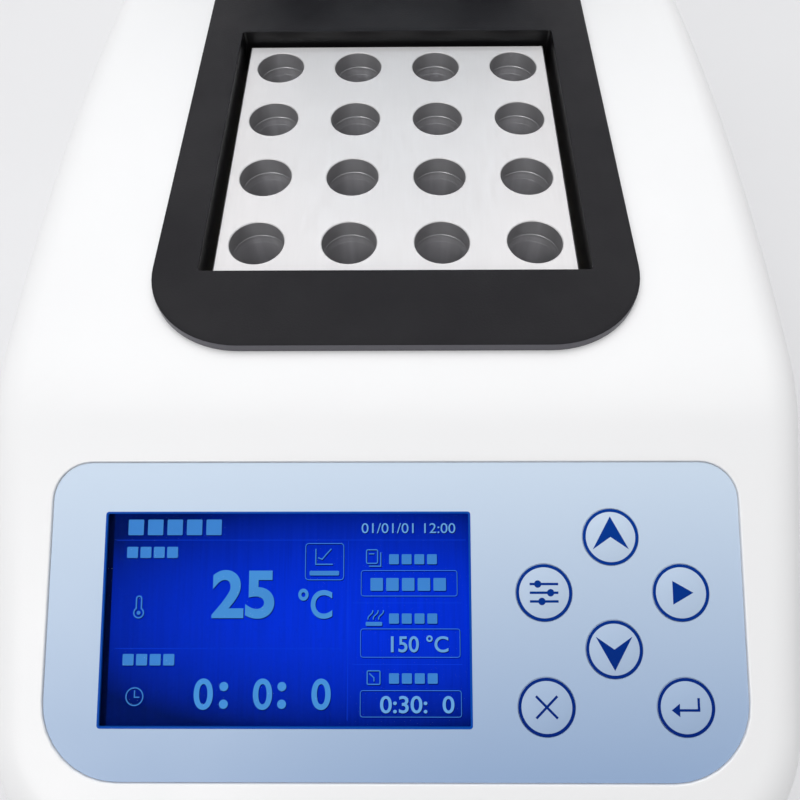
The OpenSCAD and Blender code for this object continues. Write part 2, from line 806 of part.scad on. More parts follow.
fan_hole_pitch = 5 / 6 * fan_w;
fan_rim = 1.5;
fan_bore_d = fan_w - 2 * fan_rim;
fan_corner_r = 4;
hub_d = 26;
hub_wall = 2;
hub_from = 3;        // the impeller turns this far in front of the rear panel
fan_plate_t = 2.5;
fan_strut_w = 3;
fan_strut_t = 2;
fan_strut_angles = [20, 110, 200, 290];
fan_shaft_d = 3;
fan_tip_gap = 1;
blade_n = 7;
blade_t = 1.4;
blade_chord = 16;
blade_pitch = 38;
fan_screw_places = [
  for (x = [-1, 1], z = [-1, 1])
    [fan_x + x * fan_hole_pitch / 2, rear_mid_z + z * fan_hole_pitch / 2]
];
grille_rings = [[10, 14], [16.5, 20.5], [23, 27]];
grille_bar_w = 3;
panel_hole_gap = 0.2;

inlet_w = 32;
inlet_h = 50;
inlet_flange_t = 3;
inlet_body_w = 27.6;
inlet_body_h = 44;
inlet_body_d = 26;
socket_w = 24.4;
socket_h = 16.8;
socket_d = 17;
socket_z = rear_mid_z - 9;
drawer_w = 20;
drawer_h = 9;
drawer_hold = 2;     // the drawer stays in its slot by this when it is out
drawer_d = drawer_travel + drawer_hold;
drawer_z = rear_mid_z + 12;
drawer_gap = 0.15;
drawer_wall = 2;
drawer_pull = [6, 1.5, 2];
fuse_d = 5;
fuse_gap = 0.1;
socket_cut = 4;      // the corners cut off the socket's upper side
pin_size = [2, 12, 4];
pin_places = [[0, 2], [-7, -3], [7, -3]];

switch_w = 15;
switch_h = 21;
switch_bezel_t = 2;
switch_body_w = 12.8;
switch_body_h = 18.8;
switch_body_d = 15;
rocker_w = 10.4;
rocker_end = 7.4;    // from the pivot to each end of the rocker
rocker_tip = 5.4;    // the ends stand this far out of the pivot, the middle less
rocker_dip = 3.6;
rocker_back = 2.5;
rocker_pivot = 4;    // depth of the rocker's pivot below the bezel's face
rocker_pin_d = 2;
rocker_side_gap = 0.3;
rocker_end_gap = 1.1;
rocker_room = 11;    // depth of the cavity for the rocker
rocker_pin_out = 0.8;

// Coordinates of the rear panel's outer face: x across, y out to the rear, z up
module on_rear(x, z) { translate([x, rear_y - wall, z]) children(); }

module rear_panel() color("silver")
  difference() {
    translate([-rear_panel_w / 2, rear_panel_y, rear_mid_z - rear_panel_h / 2])
      cube([rear_panel_w, rear_panel_t, rear_panel_h]);
    on_rear(fan_x, rear_mid_z) rotate([90, 0, 0])
      difference() {
        for (r = grille_rings)
          difference() {
            cylinder(r = r[1], h = through, center = true);
            cylinder(r = r[0], h = 2 * through, center = true);
          }
        for (a = [0, 45, 90, 135])
          rotate([0, 0, a]) cube([2 * fan_w, grille_bar_w, 2 * through], center = true);
      }
    for (p = concat(fan_screw_places, rear_screw_places))
      on_rear(p[0], p[1]) rotate([90, 0, 0])
        cylinder(d = pilot_d, h = through, center = true);
    on_rear(inlet_x, rear_mid_z)
      cube([inlet_body_w + 2 * panel_hole_gap, through, inlet_body_h + 2 * panel_hole_gap],
           center = true);
    on_rear(switch_x, rear_mid_z)
      cube([switch_body_w + 2 * panel_hole_gap, through, switch_body_h + 2 * panel_hole_gap],
           center = true);
  }

module rear_panel_screws() color("silver")
  for (p = rear_screw_places)
    translate([p[0], rear_y, p[1]]) screw_forward(wall + rear_panel_t + screw_d);

// Coordinates of the fan: z forward from the rear panel's inner face
module at_fan() {
  translate([fan_x, rear_panel_y, rear_mid_z]) rotate([90, 0, 0]) children();
}

module fan_frame() color([0.13, 0.13, 0.14])
  at_fan()
    difference() {
      union() {
        difference() {
          linear_extrude(fan_t) plain_rounded([fan_w, fan_w], fan_corner_r);
          cylinder(d = fan_bore_d, h = 2 * fan_t + through, center = true);
        }
        cylinder(d = hub_d, h = fan_plate_t);
        for (a = fan_strut_angles)
          rotate([0, 0, a]) translate([0, -fan_strut_w / 2, 0])
            cube([fan_bore_d / 2 + bite, fan_strut_w, fan_strut_t]);
        cylinder(d = fan_shaft_d, h = fan_t - bite);
      }
      for (x = [-1, 1], y = [-1, 1])
        translate([x * fan_hole_pitch / 2, y * fan_hole_pitch / 2, 0])
          cylinder(d = pilot_d, h = 2 * fan_t + through, center = true);
    }

module fan_impeller() color([0.16, 0.16, 0.17])
  at_fan()
    difference() {
      union() {
        translate([0, 0, hub_from]) cylinder(d = hub_d, h = fan_t - hub_from - bite);
        intersection() {
          translate([0, 0, hub_from])
            cylinder(d = fan_bore_d - 2 * fan_tip_gap, h = fan_t - hub_from - bite);
          for (i = [0:blade_n - 1])
            rotate([0, 0, i * 360 / blade_n])
              translate([0, 0, fan_t / 2 + bite]) rotate([blade_pitch, 0, 0])
                translate([0, -blade_chord / 2, -blade_t / 2]) cube([fan_w, blade_chord, blade_t]);
        }
      }
      cylinder(d = fan_shaft_d + 2 * pin_gap, h = fan_t + bite);
      translate([0, 0, hub_from - bite]) cylinder(d = hub_d - 2 * hub_wall, h = hub_from);
    }

module fan_screws() color("silver")
  for (p = fan_screw_places)
    on_rear(p[0], p[1]) screw_forward(rear_panel_t + fan_t + screw_d);

// Socket for a power cord with a fuse drawer above it
module mains_inlet() color([0.1, 0.1, 0.11])
  difference() {
    on_rear(inlet_x, rear_mid_z) {
      translate([-inlet_w / 2, 0, -inlet_h / 2]) cube([inlet_w, inlet_flange_t, inlet_h]);
      translate([-inlet_body_w / 2, inlet_flange_t - inlet_body_d, -inlet_body_h / 2])
        cube([inlet_body_w, inlet_body_d - bite, inlet_body_h]);
    }
    on_rear(inlet_x, socket_z)
      translate([0, inlet_flange_t + bite, 0]) rotate([90, 0, 0])
        linear_extrude(socket_d + bite)
          polygon([
            [-socket_w / 2, -socket_h / 2], [socket_w / 2, -socket_h / 2],
            [socket_w / 2, socket_h / 2 - socket_cut], [socket_w / 2 - socket_cut, socket_h / 2],
            [socket_cut - socket_w / 2, socket_h / 2], [-socket_w / 2, socket_h / 2 - socket_cut]
          ]);
    on_rear(inlet_x, drawer_z)
      translate([-drawer_w / 2 - drawer_gap, inlet_flange_t - drawer_d - drawer_gap,
                 -drawer_h / 2 - drawer_gap])
        cube([drawer_w + 2 * drawer_gap, drawer_d + through, drawer_h + 2 * drawer_gap]);
  }

module inlet_pins() color("gold")
  for (p = pin_places)
    on_rear(inlet_x + p[0], socket_z + p[1])
      translate([-pin_size[0] / 2, inlet_flange_t - socket_d, -pin_size[2] / 2]) cube(pin_size);

// Coordinates of the fuse: its middle is the origin
fuse_room_w = drawer_w - 2 * drawer_wall;
module at_fuse() {
  on_rear(inlet_x, drawer_z)
    translate([0, inlet_flange_t - drawer_d / 2, (drawer_h - fuse_d) / 2]) children();
}

module fuse_drawer() color([0.15, 0.15, 0.16])
  difference() {
    on_rear(inlet_x, drawer_z) {
      translate([-drawer_w / 2, inlet_flange_t - drawer_d, -drawer_h / 2])
        cube([drawer_w, drawer_d, drawer_h]);
      translate([-drawer_pull[0] / 2, inlet_flange_t - eps, -drawer_h / 2]) cube(drawer_pull);
    }
    at_fuse() {
      rotate([0, 90, 0]) cylinder(d = fuse_d + 2 * fuse_gap, h = fuse_room_w, center = true);
      box_at(0, 0, 0, [fuse_room_w, fuse_d + 2 * fuse_gap, fuse_d]);
    }
  }

module fuse() color("lightcyan")
  at_fuse()
    rotate([0, 90, 0]) cylinder(d = fuse_d, h = fuse_room_w - 4 * fuse_gap, center = true);

module switch_body() color([0.1, 0.1, 0.11])
  on_rear(switch_x, rear_mid_z)
    difference() {
      union() {
        translate([-switch_w / 2, 0, -switch_h / 2]) cube([switch_w, switch_bezel_t, switch_h]);
        translate([-switch_body_w / 2, switch_bezel_t - switch_body_d, -switch_body_h / 2])
          cube([switch_body_w, switch_body_d - bite, switch_body_h]);
      }
      translate([0, switch_bezel_t, 0])
        cube([rocker_w + 2 * rocker_side_gap, 2 * rocker_room, 2 * (rocker_end + rocker_end_gap)],
             center = true);
      translate([0, switch_bezel_t - rocker_pivot, 0])
        rotate([0, 90, 0])
          cylinder(d = rocker_pin_d + 2 * pin_gap, h = rocker_w + 2 * (rocker_pin_out + press_gap),
                   center = true);
    }

// The rocker lies tipped to its off side; it turns on two pins in the switch's walls
module switch_rocker() color([0.2, 0.2, 0.22])
  on_rear(switch_x, rear_mid_z)
    translate([0, switch_bezel_t - rocker_pivot, 0])
      rotate([rocker_swing / 2, 0, 0]) {
        rotate([0, 90, 0])
          linear_extrude(rocker_w, center = true)
            polygon([
              [-rocker_end, -rocker_back], [rocker_end, -rocker_back],
              [rocker_end, rocker_tip], [0, rocker_dip], [-rocker_end, rocker_tip]
            ]);
        rotate([0, 90, 0])
          cylinder(d = rocker_pin_d, h = rocker_w + 2 * rocker_pin_out, center = true);
      }

// ---- hinge and lid ----

ear_t = 6;
ear_gap = 0.2;       // between each ear and the leaf
leaf_w = 14;
knuckle_r = 5;
hinge_pin_l = leaf_w + 2 * ear_t + 2 * ear_gap;
leaf_t = 3;
leaf_arm = hinge_back - lid_rear - leaf_t;   // from the axis to the leaf's flange
leaf_flange_h = 24;
leaf_flange_w = 24;
leaf_flange_up = 3;  // above the lid's rim
leaf_screw_out = 8;
leaf_screw_up = 15;  // above the flange's lower edge
stop_w = 9;
stop_d = 6;
stop_y = 9;          // the stop begins this far behind the hinge axis

// Coordinates of the hinge axis: x across, y to the rear, z up
module at_hinge(s) { translate([s * hinge_x, hinge_y, hinge_z]) children(); }

module hinge_brackets() color([0.14, 0.14, 0.15])
  difference() {
    for (s = [-1, 1]) {
      translate([s * hinge_x - hinge_plate_w / 2, block_y + hinge_plate_from, top_h])
        cube([hinge_plate_w, hinge_plate_d, hinge_plate_t]);
      at_hinge(s) {
        for (x = [-1, 1])
          translate([x * ((leaf_w + ear_t) / 2 + ear_gap), 0, 0]) rotate([0, 90, 0]) {
            cylinder(r = knuckle_r, h = ear_t, center = true);
            translate([0, -knuckle_r, -ear_t / 2])
              cube([hinge_rise - bite, 2 * knuckle_r, ear_t]);
          }
        translate([-stop_w / 2, stop_y, bite - hinge_rise])
          cube([stop_w, stop_d, hinge_rise - bite + leaf_arm - seat_gap]);
      }
    }
    for (s = [-1, 1])
      at_hinge(s) rotate([0, 90, 0])
        cylinder(d = pin_d, h = 2 * hinge_pin_l, center = true);
    for (p = hinge_screw_places)
      translate([p[0], p[1], top_h - bite]) cylinder(d = pilot_d, h = through);
  }

module hinge_screws() color("silver")
  for (p = hinge_screw_places)
    translate([p[0], p[1], top_h + hinge_plate_t]) mirror([0, 0, 1])
      screw_up(hinge_plate_t + wall + screw_d);

module hinge_pins() color("silver")
  for (s = [-1, 1])
    at_hinge(s) rotate([0, 90, 0]) cylinder(d = pin_d, h = hinge_pin_l, center = true);

// Everything on the lid is drawn closed, about the hinge axis, and then swung open
module opened() {
  translate([0, hinge_y, hinge_z]) rotate([-90, 0, 0]) children();
}

lid_low = frame_t + lid_gap - hinge_rise;    // the closed lid's rim, from the axis
lid_mid = -hinge_back + (lid_rear - lid_front) / 2;
lid_d = lid_front + lid_rear;
flange_z = lid_low + leaf_flange_up;
lid_arc = 32;        // facets round each of the lid's corners
leaf_screw_places = [
  for (s = [-1, 1], x = [-1, 1])
    [s * hinge_x + x * leaf_screw_out, -leaf_arm, flange_z + leaf_screw_up]
];

module lid_block(inset, low, high) {
  r = lid_corner_r - inset;
  translate([0, lid_mid, 0])
    hull()
      for (x = [-1, 1], y = [-1, 1])
        translate([x * (lid_w / 2 - lid_corner_r), y * (lid_d / 2 - lid_corner_r), 0]) {
          translate([0, 0, low]) cylinder(r = r, h = eps, $fn = lid_arc);
          translate([0, 0, high - r / 2]) scale([1, 1, 0.5]) sphere(r, $fn = lid_arc);
        }
}

module lid_cover() color([0.85, 0.92, 0.95, 0.4])
  opened()
    difference() {
      lid_block(0, lid_low, lid_low + lid_h);
      lid_block(lid_wall, lid_low - bite, lid_low + lid_h - lid_wall);
      for (p = leaf_screw_places)
        translate(p) rotate([90, 0, 0]) cylinder(d = pilot_d, h = through);
    }

module lid_leaves() color([0.14, 0.14, 0.15])
  opened()
    difference() {
      for (s = [-1, 1])
        translate([s * hinge_x, 0, 0]) {
          rotate([0, 90, 0]) cylinder(r = knuckle_r, h = leaf_w, center = true);
          translate([-leaf_w / 2, -leaf_arm - bite, 0]) cube([leaf_w, leaf_arm + bite, knuckle_r]);
          translate([-leaf_flange_w / 2, -leaf_arm - leaf_t, flange_z])
            cube([leaf_flange_w, leaf_t, leaf_flange_h]);
        }
      for (s = [-1, 1])
        translate([s * hinge_x, 0, 0]) rotate([0, 90, 0])
          cylinder(d = pin_d + 2 * pin_gap, h = 2 * leaf_w, center = true);
      for (p = leaf_screw_places)
        translate([p[0], p[1] + bite, p[2]]) rotate([90, 0, 0]) cylinder(d = pilot_d, h = through);
    }

module leaf_screws() color("silver")
  opened()
    for (p = leaf_screw_places)
      translate(p) screw_forward(leaf_t + lid_wall + screw_d);

handle_w = 50;
handle_d = 12;
handle_h = 8;
handle_wall = 5;
handle_up = 12;      // above the lid's rim
handle_r = 4;
module handle_outline(w) {
  translate([handle_r - w / 2, 0]) square([w - 2 * handle_r, handle_d]);
  translate([-w / 2, handle_r]) square([w, handle_d - handle_r]);
  for (s = [-1, 1]) translate([s * (w / 2 - handle_r), handle_r]) circle(handle_r);
}

module lid_handle() color([0.14, 0.14, 0.15])
  opened()
    translate([0, lid_mid - lid_d / 2 - handle_d, lid_low + handle_up])
      linear_extrude(handle_h)
        difference() {
          handle_outline(handle_w);
          translate([0, handle_r]) handle_outline(handle_w - 2 * handle_wall);
        }

upper_housing();
base_tray();
rubber_feet();
housing_screws();
block_frame();
frame_screws();
heating_block();
heater_plate();
cartridge_heaters();
block_screws();
insulation_jacket();
support_plate();
support_posts();
temperature_probe();
thermal_cutout();
control_overlay();
display_lens();
lcd_module();
round_key(key_places[0]);  // key_up
round_key(key_places[1]);  // key_down
round_key(key_places[2]);  // key_set
round_key(key_places[3]);  // key_start
round_key(key_places[4]);  // key_esc
round_key(key_places[5]);  // key_enter
key_board();
power_board();
board_spacers();
rear_panel();
rear_panel_screws();
fan_frame();
fan_impeller();
fan_screws();
mains_inlet();
inlet_pins();
fuse_drawer();
fuse();
switch_body();
switch_rocker();
hinge_brackets();
hinge_screws();
hinge_pins();
lid_cover();
lid_leaves();
leaf_screws();
lid_handle();
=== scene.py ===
"""Looks for a block digester: white housing, black frame, aluminium block with wells,
control panel with display and keys, clear hinged lid. Runs in Blender 4.5."""

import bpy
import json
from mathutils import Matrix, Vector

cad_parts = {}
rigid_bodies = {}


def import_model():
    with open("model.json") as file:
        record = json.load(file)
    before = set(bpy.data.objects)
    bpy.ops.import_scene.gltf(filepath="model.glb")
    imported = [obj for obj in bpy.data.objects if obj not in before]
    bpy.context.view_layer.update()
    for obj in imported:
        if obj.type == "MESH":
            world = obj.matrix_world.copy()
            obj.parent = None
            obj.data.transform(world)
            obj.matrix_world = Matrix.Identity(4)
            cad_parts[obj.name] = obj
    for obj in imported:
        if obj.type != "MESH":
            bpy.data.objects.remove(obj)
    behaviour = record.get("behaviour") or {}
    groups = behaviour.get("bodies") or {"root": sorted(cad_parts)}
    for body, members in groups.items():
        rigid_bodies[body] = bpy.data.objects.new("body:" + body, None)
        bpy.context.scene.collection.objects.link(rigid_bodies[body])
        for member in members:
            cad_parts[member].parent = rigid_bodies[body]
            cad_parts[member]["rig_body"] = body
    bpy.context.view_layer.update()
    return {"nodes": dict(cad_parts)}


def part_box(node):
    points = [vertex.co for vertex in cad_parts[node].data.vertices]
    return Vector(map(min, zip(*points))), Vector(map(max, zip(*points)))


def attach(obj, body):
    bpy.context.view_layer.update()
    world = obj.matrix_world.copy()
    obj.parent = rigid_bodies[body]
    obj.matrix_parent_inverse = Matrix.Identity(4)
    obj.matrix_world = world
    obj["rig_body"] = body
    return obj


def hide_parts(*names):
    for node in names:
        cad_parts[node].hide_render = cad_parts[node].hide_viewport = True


bl_info = {
    "name": "Block digester",
    "version": (1, 0, 0),
    "blender": (4, 5, 0),
    "location": "View3D > Sidebar > Digester",
    "description": "Builds the visible pieces of a block digester round its packed frame",
    "category": "Object",
}

import json
import math

import bmesh
import bpy
import numpy as np
from bpy.props import FloatProperty, FloatVectorProperty, IntProperty, PointerProperty
from mathutils import Matrix, Vector

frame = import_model()
MM = 0.001
INK = 0.00002  # thickness of a printed line


def middle(node):
    """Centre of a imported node's box."""
    low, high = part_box(node)
    return (low + high) / 2


HOUSING_LOW, HOUSING_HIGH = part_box("upper_housing")
BLOCK_LOW, BLOCK_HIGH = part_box("heating_block")
BLOCK_MID = (BLOCK_LOW + BLOCK_HIGH) / 2
FRAME_LOW, FRAME_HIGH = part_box("block_frame")
PANEL_LOW, PANEL_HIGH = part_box("rear_panel")
HINGE = Vector((0, middle("hinge_pins").y, middle("hinge_pins").z))


# ---- settings ----


def length(name, text, default):
    return FloatProperty(name=name, description=text, default=default, unit="LENGTH", precision=5)


def angle(name, text, degrees):
    return FloatProperty(
        name=name, description=text, default=math.radians(degrees), subtype="ANGLE"
    )


def number(name, text, default):
    return FloatProperty(name=name, description=text, default=default)


def linear(rgb):
    """Screen values from 0 to 255 as linear values from 0 to 1."""
    return tuple(c / 3294.6 if c < 11 else ((c / 255 + 0.055) / 1.055) ** 2.4 for c in rgb)


def shaded_tone(tone, share):
    """A darker tone: each part of the colour times a share."""
    return tuple(share * part for part in tone)


def colour(name, text, *rgb):
    return FloatVectorProperty(
        name=name, description=text, default=linear(rgb), size=3, subtype="COLOR", min=0, max=1
    )


class DigesterSizes(bpy.types.PropertyGroup):
    """Sizes of the moulded housing, the frame, the panel and the lid"""

    housing_w: length("Housing width", "Width at the widest place", 0.233)
    shoulder_r: length("Shoulder radius", "Radius between walls and top", 0.012)
    front_corner: length("Front corners", "Radius of the front corners in plan", 0.034)
    rear_corner: length("Rear corners", "Radius of the rear corners in plan", 0.024)
    bow_r: length("Side bow", "Radius of the bowed sides in plan", 1.220)
    bow_len: length("Bowed stretch", "Length of the bow each side of the widest place", 0.080)
    widest_back: length("Widest place", "Distance behind the front edge", 0.220)
    draft: length("Side draft", "How far the foot of each side stands out", 0.0015)
    slope: angle("Panel slope", "Slope of the control panel", 23.1)
    bend_back: length("Bend place", "Distance of the bend behind the front edge", 0.1146)
    bend_r: length("Bend radius", "Radius between the flat top and the panel", 0.060)
    split_back: length("Seam of the top", "Where the two fields of the top's mesh meet", 0.1105)
    wall: length("Wall", "Wall thickness of the housing", 0.003)
    louvre_n: IntProperty(name="Louvres", description="Slots in each side", default=9)
    louvre_pitch: length("Louvre pitch", "Distance between louvres", 0.008)
    louvre_w: length("Louvre width", "Width of each louvre", 0.0032)
    louvre_low: length("Louvre foot", "Height of the louvres' lower ends", 0.038)
    louvre_high: length("Louvre head", "Height of the louvres' upper ends", 0.062)
    rear_window: length("Rear window", "Rear panel's overlap round its window", 0.007)

    recess_w: length("Recess width", "Width of the panel's recess", 0.1805)
    recess_h: length("Recess height", "Height of the recess along the slope", 0.0808)
    recess_up: length("Recess reach", "From the key line up to the recess's edge", 0.0339)
    recess_top_r: length("Upper corners", "Corner radius at the recess's top", 0.010)
    recess_low_r: length("Lower corners", "Corner radius at the recess's bottom", 0.020)
    recess_edge: length("Recess edge", "Rounding of the recess's edge", 0.00035)
    recess_lip: length("Recess lip", "Width of the floor that shows inside", 0.006)
    key_line_back: length("Key line", "Distance behind the front edge", 0.0636)
    sink: length("Overlay depth", "Overlay's face below the housing's face", 0.0005)
    overlay_t: length("Overlay", "Thickness of the overlay", 0.0006)
    overlay_gap: length("Overlay gap", "Gap round the overlay", 0.0003)
    window_w: length("Window width", "Width of the display window", 0.0950)
    window_h: length("Window height", "Height of the display window", 0.0537)
    window_x: length("Window place", "Centre of the window across", -0.02805)
    lens_t: length("Lens", "Thickness of the lens", 0.001)
    keys_x: length("Key place", "Centre of the key group across", 0.05635)
    key_column: length("Key column", "From the group's centre to the outer keys", 0.01765)
    key_row: length("Key row", "Distance between key rows", 0.0142)
    key_d: length("Key", "Diameter of each key", 0.0146)
    ring_w: length("Key ring", "Width of the printed ring", 0.0008)

    frame_corner: length("Frame corners", "Radius of the frame's front corners", 0.028)
    frame_rear_corner: length("Frame rear", "Radius of the frame's rear corners", 0.012)
    frame_edge: length("Frame edge", "Chamfer along the frame's edge", 0.0005)
    opening_w: length("Opening", "Side of the frame's opening", 0.115)
    opening_r: length("Opening corners", "Corner radius of the opening", 0.0012)
    collar_wall: length("Collar", "Wall thickness of the collar", 0.003)

    well_pitch: length("Well pitch", "Distance between wells", 0.0285)
    well_d: length("Well", "Diameter of each well", 0.017)
    well_depth: length("Well depth", "Depth of each well", 0.0645)
    well_step: length("Well step", "Depth of the fine step in each well", 0.0058)
    well_edge: length("Well edge", "Chamfer of the wells", 0.00025)
    block_edge: length("Block edge", "Chamfer of the block's top", 0.0005)

    lid_w: length("Lid width", "Width of the lid", 0.126)
    lid_d: length("Lid depth", "Depth of the closed lid", 0.164)
    lid_h: length("Lid height", "Height of the lid", 0.052)
    lid_wall: length("Lid wall", "Wall thickness of the lid", 0.0025)
    lid_corner: length("Lid corners", "Corner radius of the lid", 0.012)
    lid_rear: length("Lid rear", "From the hinge to the closed lid's rear wall", 0.015)
    lid_low: length("Lid rim", "Rim of the closed lid, from the hinge", -0.00485)


class DigesterColours(bpy.types.PropertyGroup):
    """Colours of the finishes"""

    housing: colour("Housing", "Moulded white plastic", 244, 244, 245)
    base: colour("Base", "Grey plastic of the base", 214, 214, 216)
    black: colour("Black plastic", "Frame and lid fittings", 21, 20, 24)
    rim: colour("Frame rim", "Outer wall of the frame", 84, 83, 90)
    # painted light: a grey on the black frame's outer wall, where light falls on it
    block: colour("Block", "Milled aluminium", 214, 212, 213)
    bore: colour("Wells", "Bored aluminium", 244, 243, 246)
    steel: colour("Steel", "Screws, pins and panel", 190, 191, 194)
    # the lower colours of film and ink are partly their print and partly painted shade
    film_high: colour("Overlay, upper", "Panel film at its upper edge", 205, 221, 239)
    film_low: colour("Overlay, lower", "Panel film at its lower edge", 146, 171, 206)
    ink_high: colour("Ink, upper", "Printed rings and signs, upper keys", 4, 60, 150)
    ink_low: colour("Ink, lower", "Printed rings and signs, lower keys", 1, 30, 112)
    line: colour("Window line", "Printed line round the display", 8, 76, 172)
    screen: colour("Display", "Lit display", 1, 45, 214)
    screen_dim: colour("Display edge", "Display towards its corners", 0, 15, 78)
    glyph: colour("Signs", "Signs on the display", 66, 136, 214)
    figure: colour("Figures", "Large figures on the display", 76, 152, 226)
    value: colour("Values", "Small figures on the display", 108, 170, 230)
    rule: colour("Rules", "Faint lines on the display", 16, 66, 224)
    # painted shadow: the dark copy below and right of each figure
    shade: colour("Shade", "Dark edge below the figures", 0, 10, 88)
    rubber: colour("Rubber", "Feet", 44, 44, 46)
    clear: colour("Lid", "Clear plastic", 240, 248, 252)


class DigesterStage(bpy.types.PropertyGroup):
    """Camera, floor and lamps"""

    lens: number("Lens", "Focal length in millimetres on a 36 mm sensor", 30.97)
    eye: FloatVectorProperty(
        name="Eye",
        description="Place of the camera",
        default=(0.00299, -0.16048, 0.29552),
        subtype="XYZ",
        unit="LENGTH",
    )
    elevation: angle("Elevation", "How far the camera looks down", 60.306)
    azimuth: angle("Azimuth", "Turn of the camera about the vertical", -0.949)
    roll: angle("Roll", "Turn of the camera about its own axis", -0.952)
    floor: colour("Floor", "Floor and backdrop", 235, 235, 237)
    sky: number("Sky", "Strength of the even light", 0.33)
    soft: number("Softbox", "Power of the large lamp overhead, in watts", 11.0)
    front: number("Front lamp", "Power of the lamp at the front left, in watts", 5.4)


# ---- meshes ----


def grid(points, closed=False):
    """Vertices and quads of a grid of rows of points; closed joins each row's ends."""
    rows, columns = points.shape[:2]
    index = np.arange(rows * columns).reshape(rows, columns)
    if closed:
        index = np.concatenate([index, index[:, :1]], 1)
    a, b = index[:-1, :-1], index[:-1, 1:]
    c, d = index[1:, 1:], index[1:, :-1]
    return points.reshape(-1, 3), np.stack([a, b, c, d], -1).reshape(-1, 4)


def cap(ring, up=True):
    """One flat face on a ring of points."""
    order = np.arange(len(ring))
    return ring, [order if up else order[::-1]]


def raised(flat, z):
    """Points of a plane, each with the same height."""
    return np.concatenate([flat, np.full((len(flat), 1), z)], 1)


def vectors(items, key, kind=np.float64):
    """A vector of each vertex or face, as rows."""
    values = np.empty(len(items) * 3, kind)
    items.foreach_get(key, values)
    return values.reshape(-1, 3)


def mesh_of(name, patches, weld=1e-5):
    """One mesh from patches of (points, faces), with doubled points merged."""
    points, faces, first = [], [], 0
    for patch_points, patch_faces in patches:
        points.append(np.asarray(patch_points))
        faces += [[int(i) + first for i in f] for f in patch_faces]
        first += len(patch_points)
    mesh = bpy.data.meshes.new(name)
    mesh.from_pydata(np.concatenate(points).tolist(), [], faces)
    shape = bmesh.new()
    shape.from_mesh(mesh)
    bmesh.ops.remove_doubles(shape, verts=shape.verts, dist=weld)
    shape.to_mesh(mesh)
    shape.free()
    return mesh


def piece(name, mesh, material, body, replaces=(), sharp=35):
    """A named object on a body, with its finish and smooth faces."""
    obj = bpy.data.objects.new(name, mesh)
    bpy.context.scene.collection.objects.link(obj)
    mesh.polygons.foreach_set("use_smooth", np.ones(len(mesh.polygons), bool))
    mesh.set_sharp_from_angle(angle=math.radians(sharp))
    mesh.materials.append(material)
    if replaces:
        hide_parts(*replaces)
    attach(obj, body)
    return obj


def bevel(obj, width, limit):
    """Rounds the edges that turn by more than the limit in degrees."""
    m = obj.modifiers.new("Edges", "BEVEL")
    m.width, m.segments, m.limit_method = width, 2, "ANGLE"
    m.angle_limit = math.radians(limit)
    m.harden_normals = True
    m.miter_outer = "MITER_ARC"


def thicken(obj, depth):
    """Gives a skin its wall, inwards."""
    m = obj.modifiers.new("Wall", "SOLIDIFY")
    m.thickness, m.offset = depth, -1
    m.use_even_offset, m.use_quality_normals = True, True


def dressed(node, material, width):
    """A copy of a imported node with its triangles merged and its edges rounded."""
    mesh = frame["nodes"][node].data.copy()
    mesh.name = node + "_part"
    mesh.materials.clear()
    shape = bmesh.new()
    shape.from_mesh(mesh)
    bmesh.ops.remove_doubles(shape, verts=shape.verts, dist=2e-6)
    bmesh.ops.dissolve_limit(
        shape, angle_limit=math.radians(0.5), verts=shape.verts, edges=shape.edges
    )
    bmesh.ops.dissolve_degenerate(shape, dist=1e-6, edges=shape.edges)
    shape.to_mesh(mesh)
    shape.free()
    body = frame["nodes"][node]["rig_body"]
    bevel(piece(node + "_part", mesh, material, body, (node,), sharp=32), width, 45)


def rounded_loop(x, y, low_r, high_r, inset=0.0, steps=10):
    """A rounded rectangle, anticlockwise from its lower left corner. x and y give its
    sides; each corner is an arc whose centre stays put when the loop is drawn in.
    Returns its points and the outward direction at each."""
    corners = [
        (x[0], y[0], low_r, 180), (x[1], y[0], low_r, 270),
        (x[1], y[1], high_r, 0), (x[0], y[1], high_r, 90),
    ]
    turn = np.linspace(0, 90, steps + 1)
    points, outward = [], []
    for cx, cy, r, start in corners:
        a = np.radians(start + turn)
        n = np.stack([np.cos(a), np.sin(a)], -1)
        centre = np.array([cx - np.sign(cx - sum(x) / 2) * r, cy - np.sign(cy - sum(y) / 2) * r])
        points.append(centre + n * (r - inset))
        outward.append(n)
    return np.concatenate(points), np.concatenate(outward)


def bearings(points, centre):
    """Angle of each point about a centre, rising from the first one."""
    d = points - centre
    return np.unwrap(np.arctan2(d[:, 1], d[:, 0]))


def hits(points, centre, angles):
    """Where rays from a centre meet a closed convex loop: for each angle the edge that
    is met and how far along it, from the crossing of the ray with that edge's line."""
    own = bearings(points, centre)
    a = own[0] + np.mod(np.asarray(angles) - own[0], 2 * np.pi)
    edge = np.clip(np.searchsorted(own, a, side="right") - 1, 0, len(points) - 1)
    p = points[edge] - centre
    q = points[(edge + 1) % len(points)] - centre
    ray = np.stack([np.cos(a), np.sin(a)], -1)
    e = q - p
    cross = e[:, 0] * ray[:, 1] - e[:, 1] * ray[:, 0]
    share = -(p[:, 0] * ray[:, 1] - p[:, 1] * ray[:, 0]) / np.where(cross == 0, 1, cross)
    return edge, np.clip(share, 0, 1)


def along(values, where):
    """Values of a closed loop at the places that hits returned."""
    edge, share = where
    following = values[(edge + 1) % len(values)]
    return values[edge] + (following - values[edge]) * share[:, None]


def sorted_union(fine, exact, least):
    """Exact places, and those of the fine ones that keep their distance from them."""
    exact = np.unique(np.round(exact, 9))
    gap = np.abs(np.asarray(fine)[:, None] - exact[None]).min(1)
    return np.unique(np.concatenate([exact, np.asarray(fine)[gap > least]]))


